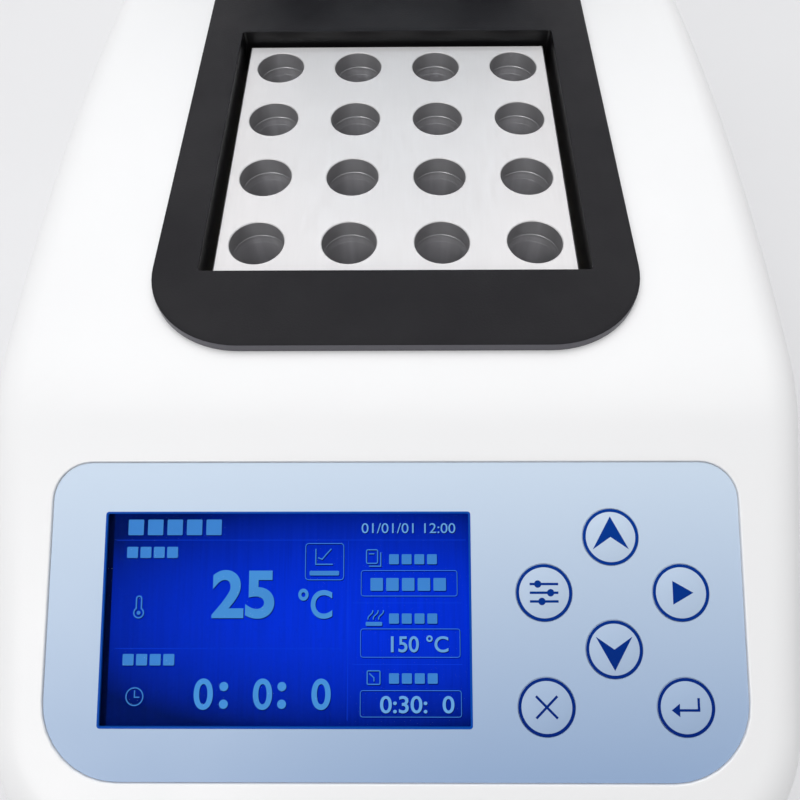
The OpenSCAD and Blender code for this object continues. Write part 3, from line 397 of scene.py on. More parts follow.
def revolve(profile, centre, turns):
    """A profile of (radius, height) turned about the vertical through a centre."""
    a = np.arange(turns) * 2 * np.pi / turns
    r, z = np.array(profile).T
    points = np.stack(
        [
            centre[0] + r[:, None] * np.cos(a),
            centre[1] + r[:, None] * np.sin(a),
            np.broadcast_to(z[:, None], (len(r), turns)),
        ],
        -1,
    )
    return grid(points, closed=True)


def moved(mesh, matrix):
    """The same mesh with its place in its points."""
    mesh.transform(matrix)
    return mesh


def mesh_from(name, data):
    """The mesh that a curve or a text makes."""
    holder = bpy.data.objects.new(name, data)
    bpy.context.scene.collection.objects.link(holder)
    bpy.context.view_layer.update()
    graph = bpy.context.evaluated_depsgraph_get()
    mesh = bpy.data.meshes.new_from_object(holder.evaluated_get(graph))
    bpy.data.objects.remove(holder)
    mesh.name = name
    return mesh


def outline_mesh(name, loops, low, high, edge=0.0):
    """A flat plate from closed loops of (x, y) points: the loops inside others are holes.
    It reaches from low to high, with its edges rounded by edge."""
    data = bpy.data.curves.new(name, "CURVE")
    data.dimensions, data.fill_mode = "2D", "BOTH"
    data.extrude = (high - low) / 2 - edge
    data.bevel_depth, data.bevel_resolution, data.offset = edge, 1, -edge
    for loop in loops:
        spline = data.splines.new("POLY")
        spline.points.add(len(loop) - 1)
        flat = np.zeros((len(loop), 4))
        flat[:, :2] = loop
        flat[:, 3] = 1
        spline.points.foreach_set("co", flat.ravel())
        spline.use_cyclic_u = True
    mesh = mesh_from(name, data)
    shape = bmesh.new()
    shape.from_mesh(mesh)
    bmesh.ops.remove_doubles(shape, verts=shape.verts, dist=1e-7)
    shape.to_mesh(mesh)
    shape.free()
    return moved(mesh, Matrix.Translation((0, 0, (low + high) / 2)))


def circle(centre, r, turns=64):
    a = np.arange(turns) * 2 * np.pi / turns
    return np.array(centre) + r * np.stack([np.cos(a), np.sin(a)], -1)


def box_loop(x, y, r=0.0, steps=5):
    """A rectangle round a centre, with round corners if r is given."""
    if r:
        return rounded_loop(x, y, r, r, steps=steps)[0]
    return np.array([(x[0], y[0]), (x[1], y[0]), (x[1], y[1]), (x[0], y[1])])


def text_mesh(name, words, x, y, low, high, bold):
    """Figures as a thin plate that fills the box between two x and two y."""
    figure_share = 0.73  # height of a figure, as a share of the type's size
    data = bpy.data.curves.new(name, "FONT")
    data.body, data.size = words, (y[1] - y[0]) / figure_share
    data.offset, data.extrude = bold, (high - low) / 2
    mesh = mesh_from(name, data)
    points = vectors(mesh.vertices, "co", np.float32)
    start, end = points.min(0), points.max(0)
    to_start, to_end = np.array([x[0], y[0], low]), np.array([x[1], y[1], high])
    points = to_start + (points - start) / (end - start) * (to_end - to_start)
    mesh.vertices.foreach_set("co", points.astype(np.float32).ravel())
    return mesh


# ---- finishes ----


class Finish:
    """One material with its Principled shader, and short ways to add nodes."""

    def __init__(self, name, colour, rough, **sockets):
        self.material = bpy.data.materials.new(name)
        self.material.use_nodes = True
        tree = self.material.node_tree
        self.nodes, self.links = tree.nodes, tree.links
        self.shader = self.nodes["Principled BSDF"]
        self.shader.inputs["Base Color"].default_value = (*colour, 1)
        self.shader.inputs["Roughness"].default_value = rough
        for key, value in sockets.items():
            self.shader.inputs[key.replace("_", " ")].default_value = value
        self.place = None

    def node(self, kind, inputs=None, **settings):
        made = self.nodes.new(kind)
        for key, value in settings.items():
            setattr(made, key, value)
        for key, value in (inputs or {}).items():
            if isinstance(value, bpy.types.NodeSocket):
                self.links.new(value, made.inputs[key])
            else:
                made.inputs[key].default_value = value
        return made

    def coordinates(self, kind="Object"):
        if self.place is None:
            self.place = self.nodes.new("ShaderNodeTexCoord")
        return self.place.outputs[kind]

    def group(self, name, **inputs):
        made = self.nodes.new("ShaderNodeGroup")
        made.node_tree = bpy.data.node_groups[name]
        self.links.new(self.coordinates(), made.inputs["Place"])
        for key, value in inputs.items():
            made.inputs[key.replace("_", " ")].default_value = value
        return made

    def into(self, socket, value):
        self.links.new(value, self.shader.inputs[socket])

    def bump(self, height, distance):
        made = self.node(
            "ShaderNodeBump", {"Height": height, "Distance": distance, "Strength": 1.0}
        )
        self.into("Normal", made.outputs["Normal"])

    def blend(self, factor, a, b):
        """Mix of two colours by a factor."""
        made = self.node("ShaderNodeMix", data_type="RGBA")
        self.links.new(factor, made.inputs["Factor"])
        for socket, value in ((made.inputs[6], a), (made.inputs[7], b)):
            if isinstance(value, bpy.types.NodeSocket):
                self.links.new(value, socket)
            else:
                socket.default_value = (*value, 1)
        return made.outputs[2]

    def spread(self, value, low, high, to_low, to_high):
        """A value carried from one range to another and held there."""
        made = self.node(
            "ShaderNodeMapRange",
            {
                "Value": value, "From Min": low, "From Max": high,
                "To Min": to_low, "To Max": to_high,
            },
        )
        return made.outputs["Result"]


def new_group(name, inputs, outputs):
    """An empty node group with its sockets."""
    group = bpy.data.node_groups.new(name, "ShaderNodeTree")
    for label, kind, default in inputs:
        socket = group.interface.new_socket(label, in_out="INPUT", socket_type=kind)
        if default is not None:
            socket.default_value = default
    for label, kind in outputs:
        group.interface.new_socket(label, in_out="OUTPUT", socket_type=kind)
    start = group.nodes.new("NodeGroupInput")
    end = group.nodes.new("NodeGroupOutput")
    return group, start.outputs, end.inputs


def make_groups():
    """Grain of moulded plastic, cutter streaks on metal, and handling smears."""
    vector, value = "NodeSocketVector", "NodeSocketFloat"

    def noise(group, place, size, detail=2.0, stretch=None):
        made = group.nodes.new("ShaderNodeTexNoise")
        made.inputs["Detail"].default_value = detail
        if stretch:
            mapping = group.nodes.new("ShaderNodeMapping")
            mapping.inputs["Scale"].default_value = stretch
            group.links.new(place, mapping.inputs["Vector"])
            place = mapping.outputs["Vector"]
        group.links.new(place, made.inputs["Vector"])
        if isinstance(size, bpy.types.NodeSocket):
            group.links.new(size, made.inputs["Scale"])
        else:
            made.inputs["Scale"].default_value = size
        return made.outputs["Fac"]

    def scaled(group, fac, low, high):
        made = group.nodes.new("ShaderNodeMapRange")
        made.inputs["From Min"].default_value = 0.3
        made.inputs["From Max"].default_value = 0.7
        group.links.new(fac, made.inputs["Value"])
        group.links.new(low, made.inputs["To Min"])
        group.links.new(high, made.inputs["To Max"])
        return made.outputs["Result"]

    group, inp, out = new_group(
        "moulded_grain",
        [("Place", vector, None), ("Fineness", value, 2500.0),
         ("Rough from", value, 0.4), ("Rough to", value, 0.5)],
        [("Height", value), ("Roughness", value)],
    )
    fine = noise(group, inp["Place"], inp["Fineness"], 3.0)
    broad = noise(group, inp["Place"], 45.0, 3.0)
    group.links.new(fine, out["Height"])
    group.links.new(scaled(group, broad, inp["Rough from"], inp["Rough to"]), out["Roughness"])

    group, inp, out = new_group(
        "cutter_streaks",
        [("Place", vector, None), ("Rough from", value, 0.3), ("Rough to", value, 0.45)],
        [("Height", value), ("Roughness", value), ("Tone", value)],
    )
    streak = noise(group, inp["Place"], 60.0, 6.0, (40.0, 1.2, 1.0))
    cloud = noise(group, inp["Place"], 35.0, 3.0)
    group.links.new(streak, out["Height"])
    group.links.new(scaled(group, streak, inp["Rough from"], inp["Rough to"]), out["Roughness"])
    group.links.new(cloud, out["Tone"])

    group, inp, out = new_group(
        "handling",
        [("Place", vector, None), ("Rough from", value, 0.3), ("Rough to", value, 0.4)],
        [("Roughness", value), ("Mask", value)],
    )
    smear = noise(group, inp["Place"], 30.0, 5.0, (1.0, 2.2, 1.0))
    group.links.new(scaled(group, smear, inp["Rough from"], inp["Rough to"]), out["Roughness"])
    group.links.new(smear, out["Mask"])


def plastic(name, tone, rough, grain=2500.0, relief=0.00002, vary=0.06, **sockets):
    """Moulded plastic: fine grain in the relief, broad change in the gloss."""
    f = Finish(name, tone, rough, **sockets)
    g = f.group(
        "moulded_grain", Fineness=grain, Rough_from=rough - vary, Rough_to=rough + vary
    )
    f.into("Roughness", g.outputs["Roughness"])
    f.bump(g.outputs["Height"], relief)
    return f.material


def metal(name, tone, rough, relief=0.000004, vary=0.08, **sockets):
    """Bare metal with streaks of its cutter and slow changes of tone."""
    f = Finish(name, tone, rough, **{"Metallic": 1.0, **sockets})
    g = f.group("cutter_streaks", Rough_from=rough - vary, Rough_to=rough + vary)
    f.into("Roughness", g.outputs["Roughness"])
    f.into("Base Color", f.blend(g.outputs["Tone"], shaded_tone(tone, 0.93), tone))
    f.bump(g.outputs["Height"], relief)
    return f.material


def make_finishes(context):
    """All finishes by the names that the pieces use."""
    c = context.scene.digester_colours
    sizes = context.scene.digester_sizes
    made = {
        "housing": plastic("white_moulding", c.housing, 0.34, 1800.0, 0.000012),
        "base": plastic("grey_moulding", c.base, 0.45),
        "black": plastic(
            "black_moulding", c.black, 0.55, 1500.0, 0.00005, Specular_IOR_Level=0.16
        ),
        # painted shade: the collar's walls inside the opening take a black darker than the frame's
        "collar": plastic(
            "black_collar_painted_shade", shaded_tone(c.black, 0.3), 0.35, 1500.0, 0.00001,
            Specular_IOR_Level=0.4,
        ),
        "fitting": plastic("black_fitting", c.black, 0.42, 2500.0, 0.00002),
        "gloss_black": plastic("gloss_black", shaded_tone(c.black, 0.7), 0.2, 900.0, 0.000004),
        "rubber": plastic("foot_rubber", c.rubber, 0.8, 1200.0, 0.00006),
        "nylon": plastic("nylon", linear((226, 224, 214)), 0.5),
        "block": metal("milled_aluminium", c.block, 0.45, Metallic=0.35),
        "steel": metal("zinc_steel", c.steel, 0.34),
        "sheet": metal("brushed_sheet", c.steel, 0.4),
        "brass": metal("plated_brass", linear((214, 178, 96)), 0.3),
        # painted light on the frame's upright outer wall
        "rim": plastic("black_rim_painted_light", c.rim, 0.36, 1500.0, 0.00001),
        "line": plastic("line_ink", c.line, 0.4, 3000.0, 0.000002, Specular_IOR_Level=0.05),
        "ceramic": plastic("ceramic", linear((205, 188, 160)), 0.7),
    }

    # film and ink grow darker down the slope, partly in their print and partly as painted shade,
    # and a little darker from left to right as painted shade
    reach = [
        (panel_matrix(sizes) @ Vector((0, up, 0))).y
        for up in (sizes.recess_up, sizes.recess_up - sizes.recess_h)
    ]
    for key, name, high, low, spec, relief in (
        ("film", "panel_film", c.film_high, c.film_low, 0.5, 0.00001),
        ("ink", "blue_ink", c.ink_high, c.ink_low, 0.05, 0.000002),
    ):
        f = Finish(name, high, 0.42, Specular_IOR_Level=spec)
        g = f.group("moulded_grain", Fineness=2600.0, Rough_from=0.36, Rough_to=0.46)
        split = f.node("ShaderNodeSeparateXYZ", {"Vector": f.coordinates()})
        down = f.spread(split.outputs["Y"], *reach, 0.0, 1.0)
        # painted shade: a little darker towards the right
        across = f.spread(split.outputs["X"], -0.09, 0.02, 0.8, 1.0)
        print_and_painted_shade = f.node("ShaderNodeMath", {0: down, 1: across}, operation="MULTIPLY")
        f.into("Base Color", f.blend(print_and_painted_shade.outputs[0], high, low))
        f.into("Roughness", g.outputs["Roughness"])
        f.bump(g.outputs["Height"], relief)
        made[key] = f.material

    # the wells: dull above their step and bright below it, with streaks down the wall,
    # and darker towards their left and right as painted shade, which leaves a painted reflection
    # down their middle
    f = Finish("bored_aluminium", c.bore, 0.32, Metallic=0.6)
    split = f.node("ShaderNodeSeparateXYZ", {"Vector": f.coordinates()})
    step = BLOCK_HIGH.z - sizes.well_step
    above = f.spread(split.outputs["Z"], step - 0.0015, step + 0.0005, 0.0, 1.0)
    round_only = f.node(
        "ShaderNodeMapping", {"Vector": f.coordinates(), "Scale": (1.0, 1.0, 0.02)}
    )
    streak = f.node(
        "ShaderNodeTexNoise", {"Vector": round_only.outputs[0], "Scale": 260.0, "Detail": 2.0}
    )
    dull, mid, side_shade_tone = (shaded_tone(c.bore, share) for share in (0.62, 0.88, 0.2))
    bright = f.blend(f.spread(streak.outputs["Fac"], 0.35, 0.65, 0.0, 1.0), mid, c.bore)
    turned = f.blend(above, bright, dull)
    cells = f.node(
        "ShaderNodeMath", {0: split.outputs["X"], 1: sizes.well_pitch}, operation="DIVIDE"
    )
    cell = f.node("ShaderNodeMath", {0: cells.outputs[0], 1: 1.0, 2: 0.0}, operation="WRAP")
    # how far to the side of its well's middle a point lies, in pitches
    off = f.node("ShaderNodeMath", {0: cell.outputs[0], 1: 0.5}, operation="SUBTRACT")
    off = f.node("ShaderNodeMath", {0: off.outputs[0]}, operation="ABSOLUTE").outputs[0]
    radius = sizes.well_d / 2 / sizes.well_pitch
    # painted shade: each well's wall darkens towards its left and right
    side = f.spread(off, 0.3 * radius, 0.95 * radius, 0.0, 0.55)
    f.into("Base Color", f.blend(side, turned, side_shade_tone))
    g = f.group("cutter_streaks", Rough_from=0.28, Rough_to=0.36)
    f.into("Roughness", g.outputs["Roughness"])
    f.bump(streak.outputs["Fac"], 0.0000015)
    made["bore"] = f.material

    f = Finish("insulation", linear((235, 230, 214)), 0.9)
    g = f.group("moulded_grain", Fineness=700.0, Rough_from=0.85, Rough_to=0.95)
    f.bump(g.outputs["Height"], 0.0002)
    made["felt"] = f.material

    f = Finish("circuit_board", linear((22, 92, 52)), 0.35)
    g = f.group("handling", Rough_from=0.25, Rough_to=0.45)
    f.into("Roughness", g.outputs["Roughness"])
    f.into("Base Color", f.blend(g.outputs["Mask"], linear((18, 80, 46)), linear((28, 108, 60))))
    made["board"] = f.material

    # clear pieces, with the range of their roughness
    for key, name, tone, rough, ior, low, high in (
        ("clear", "clear_lid", c.clear, 0.03, 1.5, 0.01, 0.06),
        ("lens", "display_lens", (1, 1, 1), 0.02, 1.02, 0.005, 0.02),
        ("glass", "fuse_glass", (0.95, 0.98, 0.97), 0.02, 1.5, 0.005, 0.04),
    ):
        f = Finish(name, tone, rough, IOR=ior, Transmission_Weight=1.0)
        g = f.group("handling", Rough_from=low, Rough_to=high)
        f.into("Roughness", g.outputs["Roughness"])
        made[key] = f.material

    lit = dict(Specular_IOR_Level=0.0, Emission_Strength=1.0)
    f = Finish("lit_display", (0.001, 0.003, 0.03), 0.3, **lit)
    flat = f.node("ShaderNodeSeparateXYZ", {"Vector": f.coordinates("UV")})
    u, v = flat.outputs["X"], flat.outputs["Y"]
    # brightest at 0.68 across and 0.51 up, dim at an oval of 0.87 by 0.54 of its sides
    du = f.spread(u, -0.19, 1.55, -1.0, 1.0)
    dv = f.spread(v, -0.03, 1.05, -1.0, 1.0)
    far = f.node("ShaderNodeCombineXYZ", {"X": du, "Y": dv})
    far = f.node("ShaderNodeVectorMath", {0: far.outputs[0]}, operation="LENGTH").outputs["Value"]
    fade = f.node("ShaderNodeMath", {0: far, 1: 2.0}, operation="POWER").outputs[0]
    fade = f.spread(fade, 0.0, 1.0, 0.0, 1.0)
    glow = f.blend(fade, c.screen, c.screen_dim)
    # faint upright lines of the picture's columns
    fine = f.node("ShaderNodeMapping", {"Vector": f.coordinates("UV"), "Scale": (150.0, 3.0, 1.0)})
    lines = f.node("ShaderNodeTexNoise", {"Vector": fine.outputs[0], "Scale": 1.0, "Detail": 1.0})
    dimmed = f.blend(fade, shaded_tone(c.screen, 0.86), shaded_tone(c.screen_dim, 0.8))
    glow = f.blend(f.spread(lines.outputs["Fac"], 0.35, 0.75, 0.0, 1.0), glow, dimmed)
    # a strip at the picture's left edge stays nearly black
    strip = f.node("ShaderNodeMath", {0: u, 1: 0.021}, operation="LESS_THAN").outputs[0]
    f.into("Emission Color", f.blend(strip, glow, linear((0, 3, 20))))
    made["display"] = f.material
    for key, name, tone in (
        ("glyph", "display_sign", c.glyph), ("figure", "display_figure", c.figure),
        ("value", "display_value", c.value), ("rule", "display_rule", c.rule),
        ("shade", "display_shade", c.shade),
    ):
        f = Finish(name, shaded_tone(tone, 0.02), 0.4, **lit)
        g = f.group("handling", Rough_from=0.3, Rough_to=0.5)
        f.into("Emission Color", f.blend(g.outputs["Mask"], shaded_tone(tone, 0.72), tone))
        made[key] = f.material
    return made


FINISHES = {}


def finish(name):
    if not FINISHES:
        make_groups()
        FINISHES.update(make_finishes(bpy.context))
    return FINISHES[name]


# ---- form of the housing ----


def half_width(s, y):
    """Half-width at y: an arc round the widest place that runs out into straight lines."""
    d = np.abs(y - HOUSING_LOW.y - s.widest_back)
    arc = np.minimum(d, s.bow_len)
    return s.housing_w / 2 - arc**2 / (2 * s.bow_r) - (d - arc) * s.bow_len / s.bow_r


def top_height(s, y):
    """Height of the top at y: flat, an arc of the bend's radius, then the slope."""
    top, bend = HOUSING_HIGH.z, HOUSING_LOW.y + s.bend_back
    cut = s.bend_r * math.tan(s.slope / 2)
    start, end = bend + cut, bend - cut * math.cos(s.slope)
    arc = top - s.bend_r + np.sqrt(np.maximum(s.bend_r**2 - (start - y) ** 2, 0))
    plane = top - (bend - y) * math.tan(s.slope)
    return np.where(y >= start, top, np.where(y > end, arc, plane))


def panel_matrix(s):
    """Carries (across, up the slope, out of the overlay's face) into place."""
    y = HOUSING_LOW.y + s.key_line_back
    plane = HOUSING_HIGH.z - (HOUSING_LOW.y + s.bend_back - y) * math.tan(s.slope)
    z = plane - s.sink / math.cos(s.slope)
    return Matrix.Translation((0, y, z)) @ Matrix.Rotation(s.slope, 4, "X")


def window_sides(s):
    """The window's two sides across, and the two up the slope."""
    half = np.array([-0.5, 0.5])
    return s.window_x + half * s.window_w, s.recess_up - s.recess_h / 2 + half * s.window_h


def right_side(s):
    """Right half of the outline in plan, from the middle of the front to the middle of
    the rear, close enough to measure on: points, outward directions and length so far.
    A round front corner, the bowed side, a round rear corner, each tangent to the next."""
    tilt = math.atan(s.bow_len / s.bow_r)
    front_y, rear_y = HOUSING_LOW.y, HOUSING_HIGH.y
    cy = front_y + s.front_corner, rear_y - s.rear_corner
    cx = [
        float(half_width(s, np.float64(y))) - r / math.cos(tilt)
        for y, r in zip(cy, (s.front_corner, s.rear_corner))
    ]
    a = np.linspace(-math.pi / 2, -tilt, 200)
    front_n = np.stack([np.cos(a), np.sin(a)], -1)
    front = np.array([cx[0], cy[0]]) + s.front_corner * front_n
    a = np.linspace(tilt, math.pi / 2, 160)
    rear_n = np.stack([np.cos(a), np.sin(a)], -1)
    rear = np.array([cx[1], cy[1]]) + s.rear_corner * rear_n
    y = np.linspace(front[-1, 1], rear[0, 1], 1400)[1:-1]
    d = y - front_y - s.widest_back
    a = np.sign(d) * np.arctan(np.minimum(np.abs(d), s.bow_len) / s.bow_r)
    side = np.stack([half_width(s, y), y], -1)
    side_n = np.stack([np.cos(a), np.sin(a)], -1)
    ends = np.array([[0, front_y]]), np.array([[0, rear_y]])
    points = np.concatenate([ends[0], front, side, rear, ends[1]])
    outward = np.concatenate([[[0, -1]], front_n, side_n, rear_n, [[0, 1]]])
    run = np.concatenate([[0], np.cumsum(np.hypot(*np.diff(points, axis=0).T))])
    return points, outward, run


def pick(values, run, at):
    return np.stack([np.interp(at, run, values[:, k]) for k in (0, 1)], -1)


def both_sides(values):
    """The right half and its mirror image as one closed anticlockwise loop."""
    return np.concatenate([values, values[-2:0:-1] * np.array([-1, 1])])


def recess_loop(s, inset, steps=8):
    """The recess's outline in the panel's coordinates."""
    x = np.array([-s.recess_w, s.recess_w]) / 2
    y = np.array([s.recess_up - s.recess_h, s.recess_up])
    return rounded_loop(x, y, s.recess_low_r, s.recess_top_r, inset, steps)


def on_panel(s, flat, depth):
    """Points of the panel's coordinates, at a depth below the housing's face, in place."""
    m = np.array(panel_matrix(s))
    return raised(flat, s.sink - depth) @ m[:3, :3].T + m[:3, 3]


def top_field(s, outer, inner, rows):
    """The top between an outer and an inner loop in plan: straight lines from one to the
    other in plan, lifted to the height of the top."""
    t = np.linspace(0, 1, rows)[:, None, None]
    flat = outer * (1 - t) + inner * t
    return np.concatenate([flat, top_height(s, flat[..., 1:])], -1)


class DIGESTER_OT_housing(bpy.types.Operator):
    """White moulded housing with its shoulders, bend, panel recess, louvres and rear window"""

    bl_idname = "digester.housing"
    bl_label = "Housing"

    def execute(self, context):
        s = context.scene.digester_sizes
        points, outward, run = right_side(s)
        ring_t = points - outward * s.shoulder_r
        split_y = HOUSING_LOW.y + s.split_back
        side = (points[:, 1] > HOUSING_LOW.y + s.front_corner) & (
            points[:, 1] < HOUSING_HIGH.y - s.rear_corner
        )
        split_q = np.interp(split_y, ring_t[side, 1], run[side])
        split_x = np.interp(split_q, run, ring_t[:, 0])

        # the two holes of the top, in plan
        recess, recess_n = recess_loop(s, -s.recess_edge)
        recess_plan = on_panel(s, recess, 0.0)[:, :2]
        front_c = np.array([0, recess_plan[:, 1].mean()])
        seat_gap, hole_corner = 0.0003, 0.0055
        half = (s.opening_w / 2 + s.collar_wall) + seat_gap
        span = np.array([-half, half])
        hole, _ = rounded_loop(span, BLOCK_MID.y + span, hole_corner, hole_corner)
        rear_c = np.array([0, BLOCK_MID.y])

        # columns of the walls: even ones, and those that the openings and corners ask for
        def meeting(loop, centre, front):
            """Run of the ring, or place on the seam, that each point of a hole looks at."""
            a = np.arctan2(*(loop - centre).T[::-1])
            a = a[(np.cos(a) > 1e-6)]
            corner = math.atan2(split_y - centre[1], split_x)
            on_ring = a < corner if front else a > corner
            own = np.arctan2(*(ring_t - centre).T[::-1])
            order = np.argsort(own)
            q = np.interp(a[on_ring], own[order], run[order])
            x = np.abs((split_y - centre[1]) / np.tan(a[~on_ring]))
            return q, x

        q_front, x_front = meeting(recess_plan, front_c, True)
        q_rear, x_rear = meeting(hole, rear_c, False)
        slot_y = BLOCK_MID.y + (
            (np.arange(s.louvre_n) - (s.louvre_n - 1) / 2)[:, None] * s.louvre_pitch
            + np.array([-0.5, 0.5]) * s.louvre_w
        )
        slot_q = np.interp(slot_y.ravel(), points[side, 1], run[side])
        window_x = (PANEL_HIGH.x - PANEL_LOW.x) / 2 - s.rear_window
        window_q = run[-1] - window_x
        even = np.concatenate(
            [
                np.linspace(0, points[1, 0], 12),
                np.linspace(run[1], run[200], 22),
                np.interp(
                    HOUSING_LOW.y + np.linspace(0.036, s.bend_back + 0.014, 54),
                    points[side, 1], run[side],
                ),
                np.linspace(run[np.argmax(side)] + 0.105, run[-161], 40),
                np.linspace(run[-161], run[-2], 18),
                np.linspace(run[-2], run[-1], 14),
            ]
        )
        exact = np.concatenate([[0, run[-1], split_q, window_q], q_front, q_rear, slot_q])
        column_gap, seam_gap = 0.0009, 0.001  # least distance to an exact place
        q = sorted_union(even, exact, column_gap)
        p, n = pick(points, run, q), pick(outward, run, q)
        n /= np.linalg.norm(n, axis=1)[:, None]
        p, n = both_sides(p), both_sides(n)

        # walls: straight lines from the spread foot to the shoulder's lower edge
        level = max(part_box("base_tray")[1].z, HOUSING_LOW.z)
        window_z = PANEL_LOW.z + s.rear_window, PANEL_HIGH.z - s.rear_window
        flat_z = HOUSING_HIGH.z - s.shoulder_r
        # rows at the openings' edges, with others between them
        heights = np.array(
            [level, level + 0.004, window_z[0], s.louvre_low, 0.050, s.louvre_high,
             0.078, 0.092, window_z[1], 0.116, flat_z]
        )
        share = ((heights - level) / (flat_z - level))[:, None]
        foot = raised(p + n * np.array([s.draft, 0]), level)
        head = np.concatenate([p, top_height(s, p[:, 1:]) - s.shoulder_r], 1)
        wall = foot + (head - foot) * share[..., None]

        # shoulder: a quarter turn from the wall to the top
        a = np.radians(np.linspace(0, 90, 13))[1:, None, None]
        flat = p - n * s.shoulder_r * (1 - np.cos(a))
        shoulder = np.concatenate(
            [flat, top_height(s, flat[..., 1:]) - s.shoulder_r * (1 - np.sin(a))], -1
        )
        rows = np.concatenate([wall, shoulder])
        skin, quads = grid(rows, closed=True)

        # openings in the walls
        centre = rows.reshape(-1, 3)[quads].mean(1)
        in_slots = (
            (np.abs(centre[:, 1:2] - slot_y.mean(1)) < s.louvre_w / 2).any(1)
            & (centre[:, 2] > s.louvre_low) & (centre[:, 2] < s.louvre_high)
        )
        in_window = (
            (np.abs(centre[:, 0]) < window_x) & (centre[:, 1] > HOUSING_HIGH.y - 1e-4)
            & (centre[:, 2] > window_z[0]) & (centre[:, 2] < window_z[1])
        )
        quads = quads[~(in_slots | in_window)]

        # the two fields of the top
        ring = shoulder[-1, :, :2]
        k = int(np.argmin(np.abs(q - split_q)))
        seam = sorted_union(
            np.linspace(0, split_x, 20), np.concatenate([[0, split_x], x_front, x_rear]), seam_gap
        )
        seam = seam[seam <= split_x + 1e-9]
        seam[-1] = split_x
        seam = np.concatenate([-seam[:0:-1], seam])
        seam = np.stack([seam, np.full(len(seam), split_y)], -1)
        count = len(ring)
        seam[0], seam[-1] = ring[count - k], ring[k]
        rear_outer = np.concatenate([ring[k:count - k + 1], seam[1:-1]])
        front_outer = np.concatenate([ring[count - k:], ring[:k + 1], seam[1:-1][::-1]])
        rear_at = hits(hole, rear_c, bearings(rear_outer, rear_c))
        rear_field = top_field(s, rear_outer, along(hole, rear_at), 16)
        front_at = hits(recess_plan, front_c, bearings(front_outer, front_c))
        front_field = top_field(s, front_outer, along(recess_plan, front_at), 10)

        # the recess: a rounded edge, its wall, and the lip of its floor
        local, _ = recess_loop(s, 0.0)
        base, direction = along(local, front_at), along(recess_n, front_at)
        direction /= np.linalg.norm(direction, axis=1)[:, None]
        floor = s.sink + s.overlay_t
        e = s.recess_edge
        turn = np.radians(np.linspace(0, 90, 6))
        profile = [(e * (1 - math.sin(t)), e * (1 - math.cos(t))) for t in turn]
        profile += [(0, floor), (-s.recess_lip, floor)]
        recess_rows = np.stack(
            [on_panel(s, base + direction * out, depth) for out, depth in profile]
        )
        recess_rows[0] = front_field[-1]
        mesh = mesh_of(
            "housing",
            [(skin, quads), grid(rear_field, True), grid(front_field, True),
             grid(recess_rows, True)],
            weld=2e-5,
        )
        obj = piece(
            "housing_shell", mesh, finish("housing"), "base",
            ("upper_housing",), sharp=40,
        )
        shell_share = 0.9  # thickness of the skin, as a share of the wall
        thicken(obj, s.wall * shell_share)
        bevel(obj, 0.00025, 60)
        return {"FINISHED"}


class DIGESTER_OT_frame(bpy.types.Operator):
    """Black frame round the block, with the collar that hangs into the housing"""

    bl_idname = "digester.frame"
    bl_label = "Frame"

    def execute(self, context):
        s = context.scene.digester_sizes
        low, high = FRAME_LOW, FRAME_HIGH
        outer, outer_n = rounded_loop(
            (low.x, high.x), (low.y, high.y), s.frame_corner, s.frame_rear_corner, steps=18
        )
        half = s.opening_w / 2
        inner, inner_n = rounded_loop(
            (-half, half), (BLOCK_MID.y - half, BLOCK_MID.y + half), s.opening_r, s.opening_r,
            steps=8,
        )
        centre = np.array([0, BLOCK_MID.y])
        a = np.concatenate([bearings(outer, centre), bearings(inner, centre)])
        a = np.unique(np.round(np.mod(a, 2 * np.pi), 7))
        where_out, where_in = hits(outer, centre, a), hits(inner, centre, a)

        def ring(side, outset, z):
            loop, normal, where = side
            return raised(along(loop, where) + along(normal, where) * outset, z)

        out_side, in_side = (outer, outer_n, where_out), (inner, inner_n, where_in)
        rest, edge = HOUSING_HIGH.z, s.frame_edge
        r = 0.00025  # rounding of the opening's edge
        rows = [
            ring(out_side, 0, rest),
            ring(out_side, 0, high.z - edge),
            ring(out_side, -0.3 * edge, high.z - 0.3 * edge),
            ring(out_side, -edge, high.z),
        ]
        start, end = ring(out_side, -edge, high.z), ring(in_side, r, high.z)
        rows += [start + (end - start) * t for t in (0.06, 0.3, 0.6, 0.94)]
        for t in np.radians(np.linspace(0, 90, 5)):
            rows.append(ring(in_side, r * (1 - math.sin(t)), high.z - r * (1 - math.cos(t))))
        rows += [
            ring(in_side, 0, low.z),
            ring(in_side, s.collar_wall, low.z),
            ring(in_side, s.collar_wall, rest),
            ring(out_side, 0, rest),
        ]
        mesh = mesh_of("frame", [grid(np.stack(rows), True)], weld=2e-6)
        piece("frame_body", mesh, finish("black"), "base", ("block_frame",), 30)
        mesh.materials.append(finish("collar"))
        mesh.materials.append(finish("rim"))
        middles = vectors(mesh.polygons, "center")
        away = np.abs(middles[:, :2] - centre).max(1)
        # painted shade: the opening's inner walls below the rounded edge get the darker collar
        # finish
        painted_shade_wall = (away < half + 1e-5) & (middles[:, 2] < high.z - 0.8 * r)
        past_collar = away > half + s.collar_wall + MM
        upright = np.abs(vectors(mesh.polygons, "normal")[:, 2]) < 0.5
        # painted light: the frame's upright outer wall gets the grey rim finish
        painted_light_wall = past_collar & upright
        slots = painted_shade_wall.astype(np.int32) + 2 * painted_light_wall.astype(np.int32)
        mesh.polygons.foreach_set("material_index", slots)
        return {"FINISHED"}


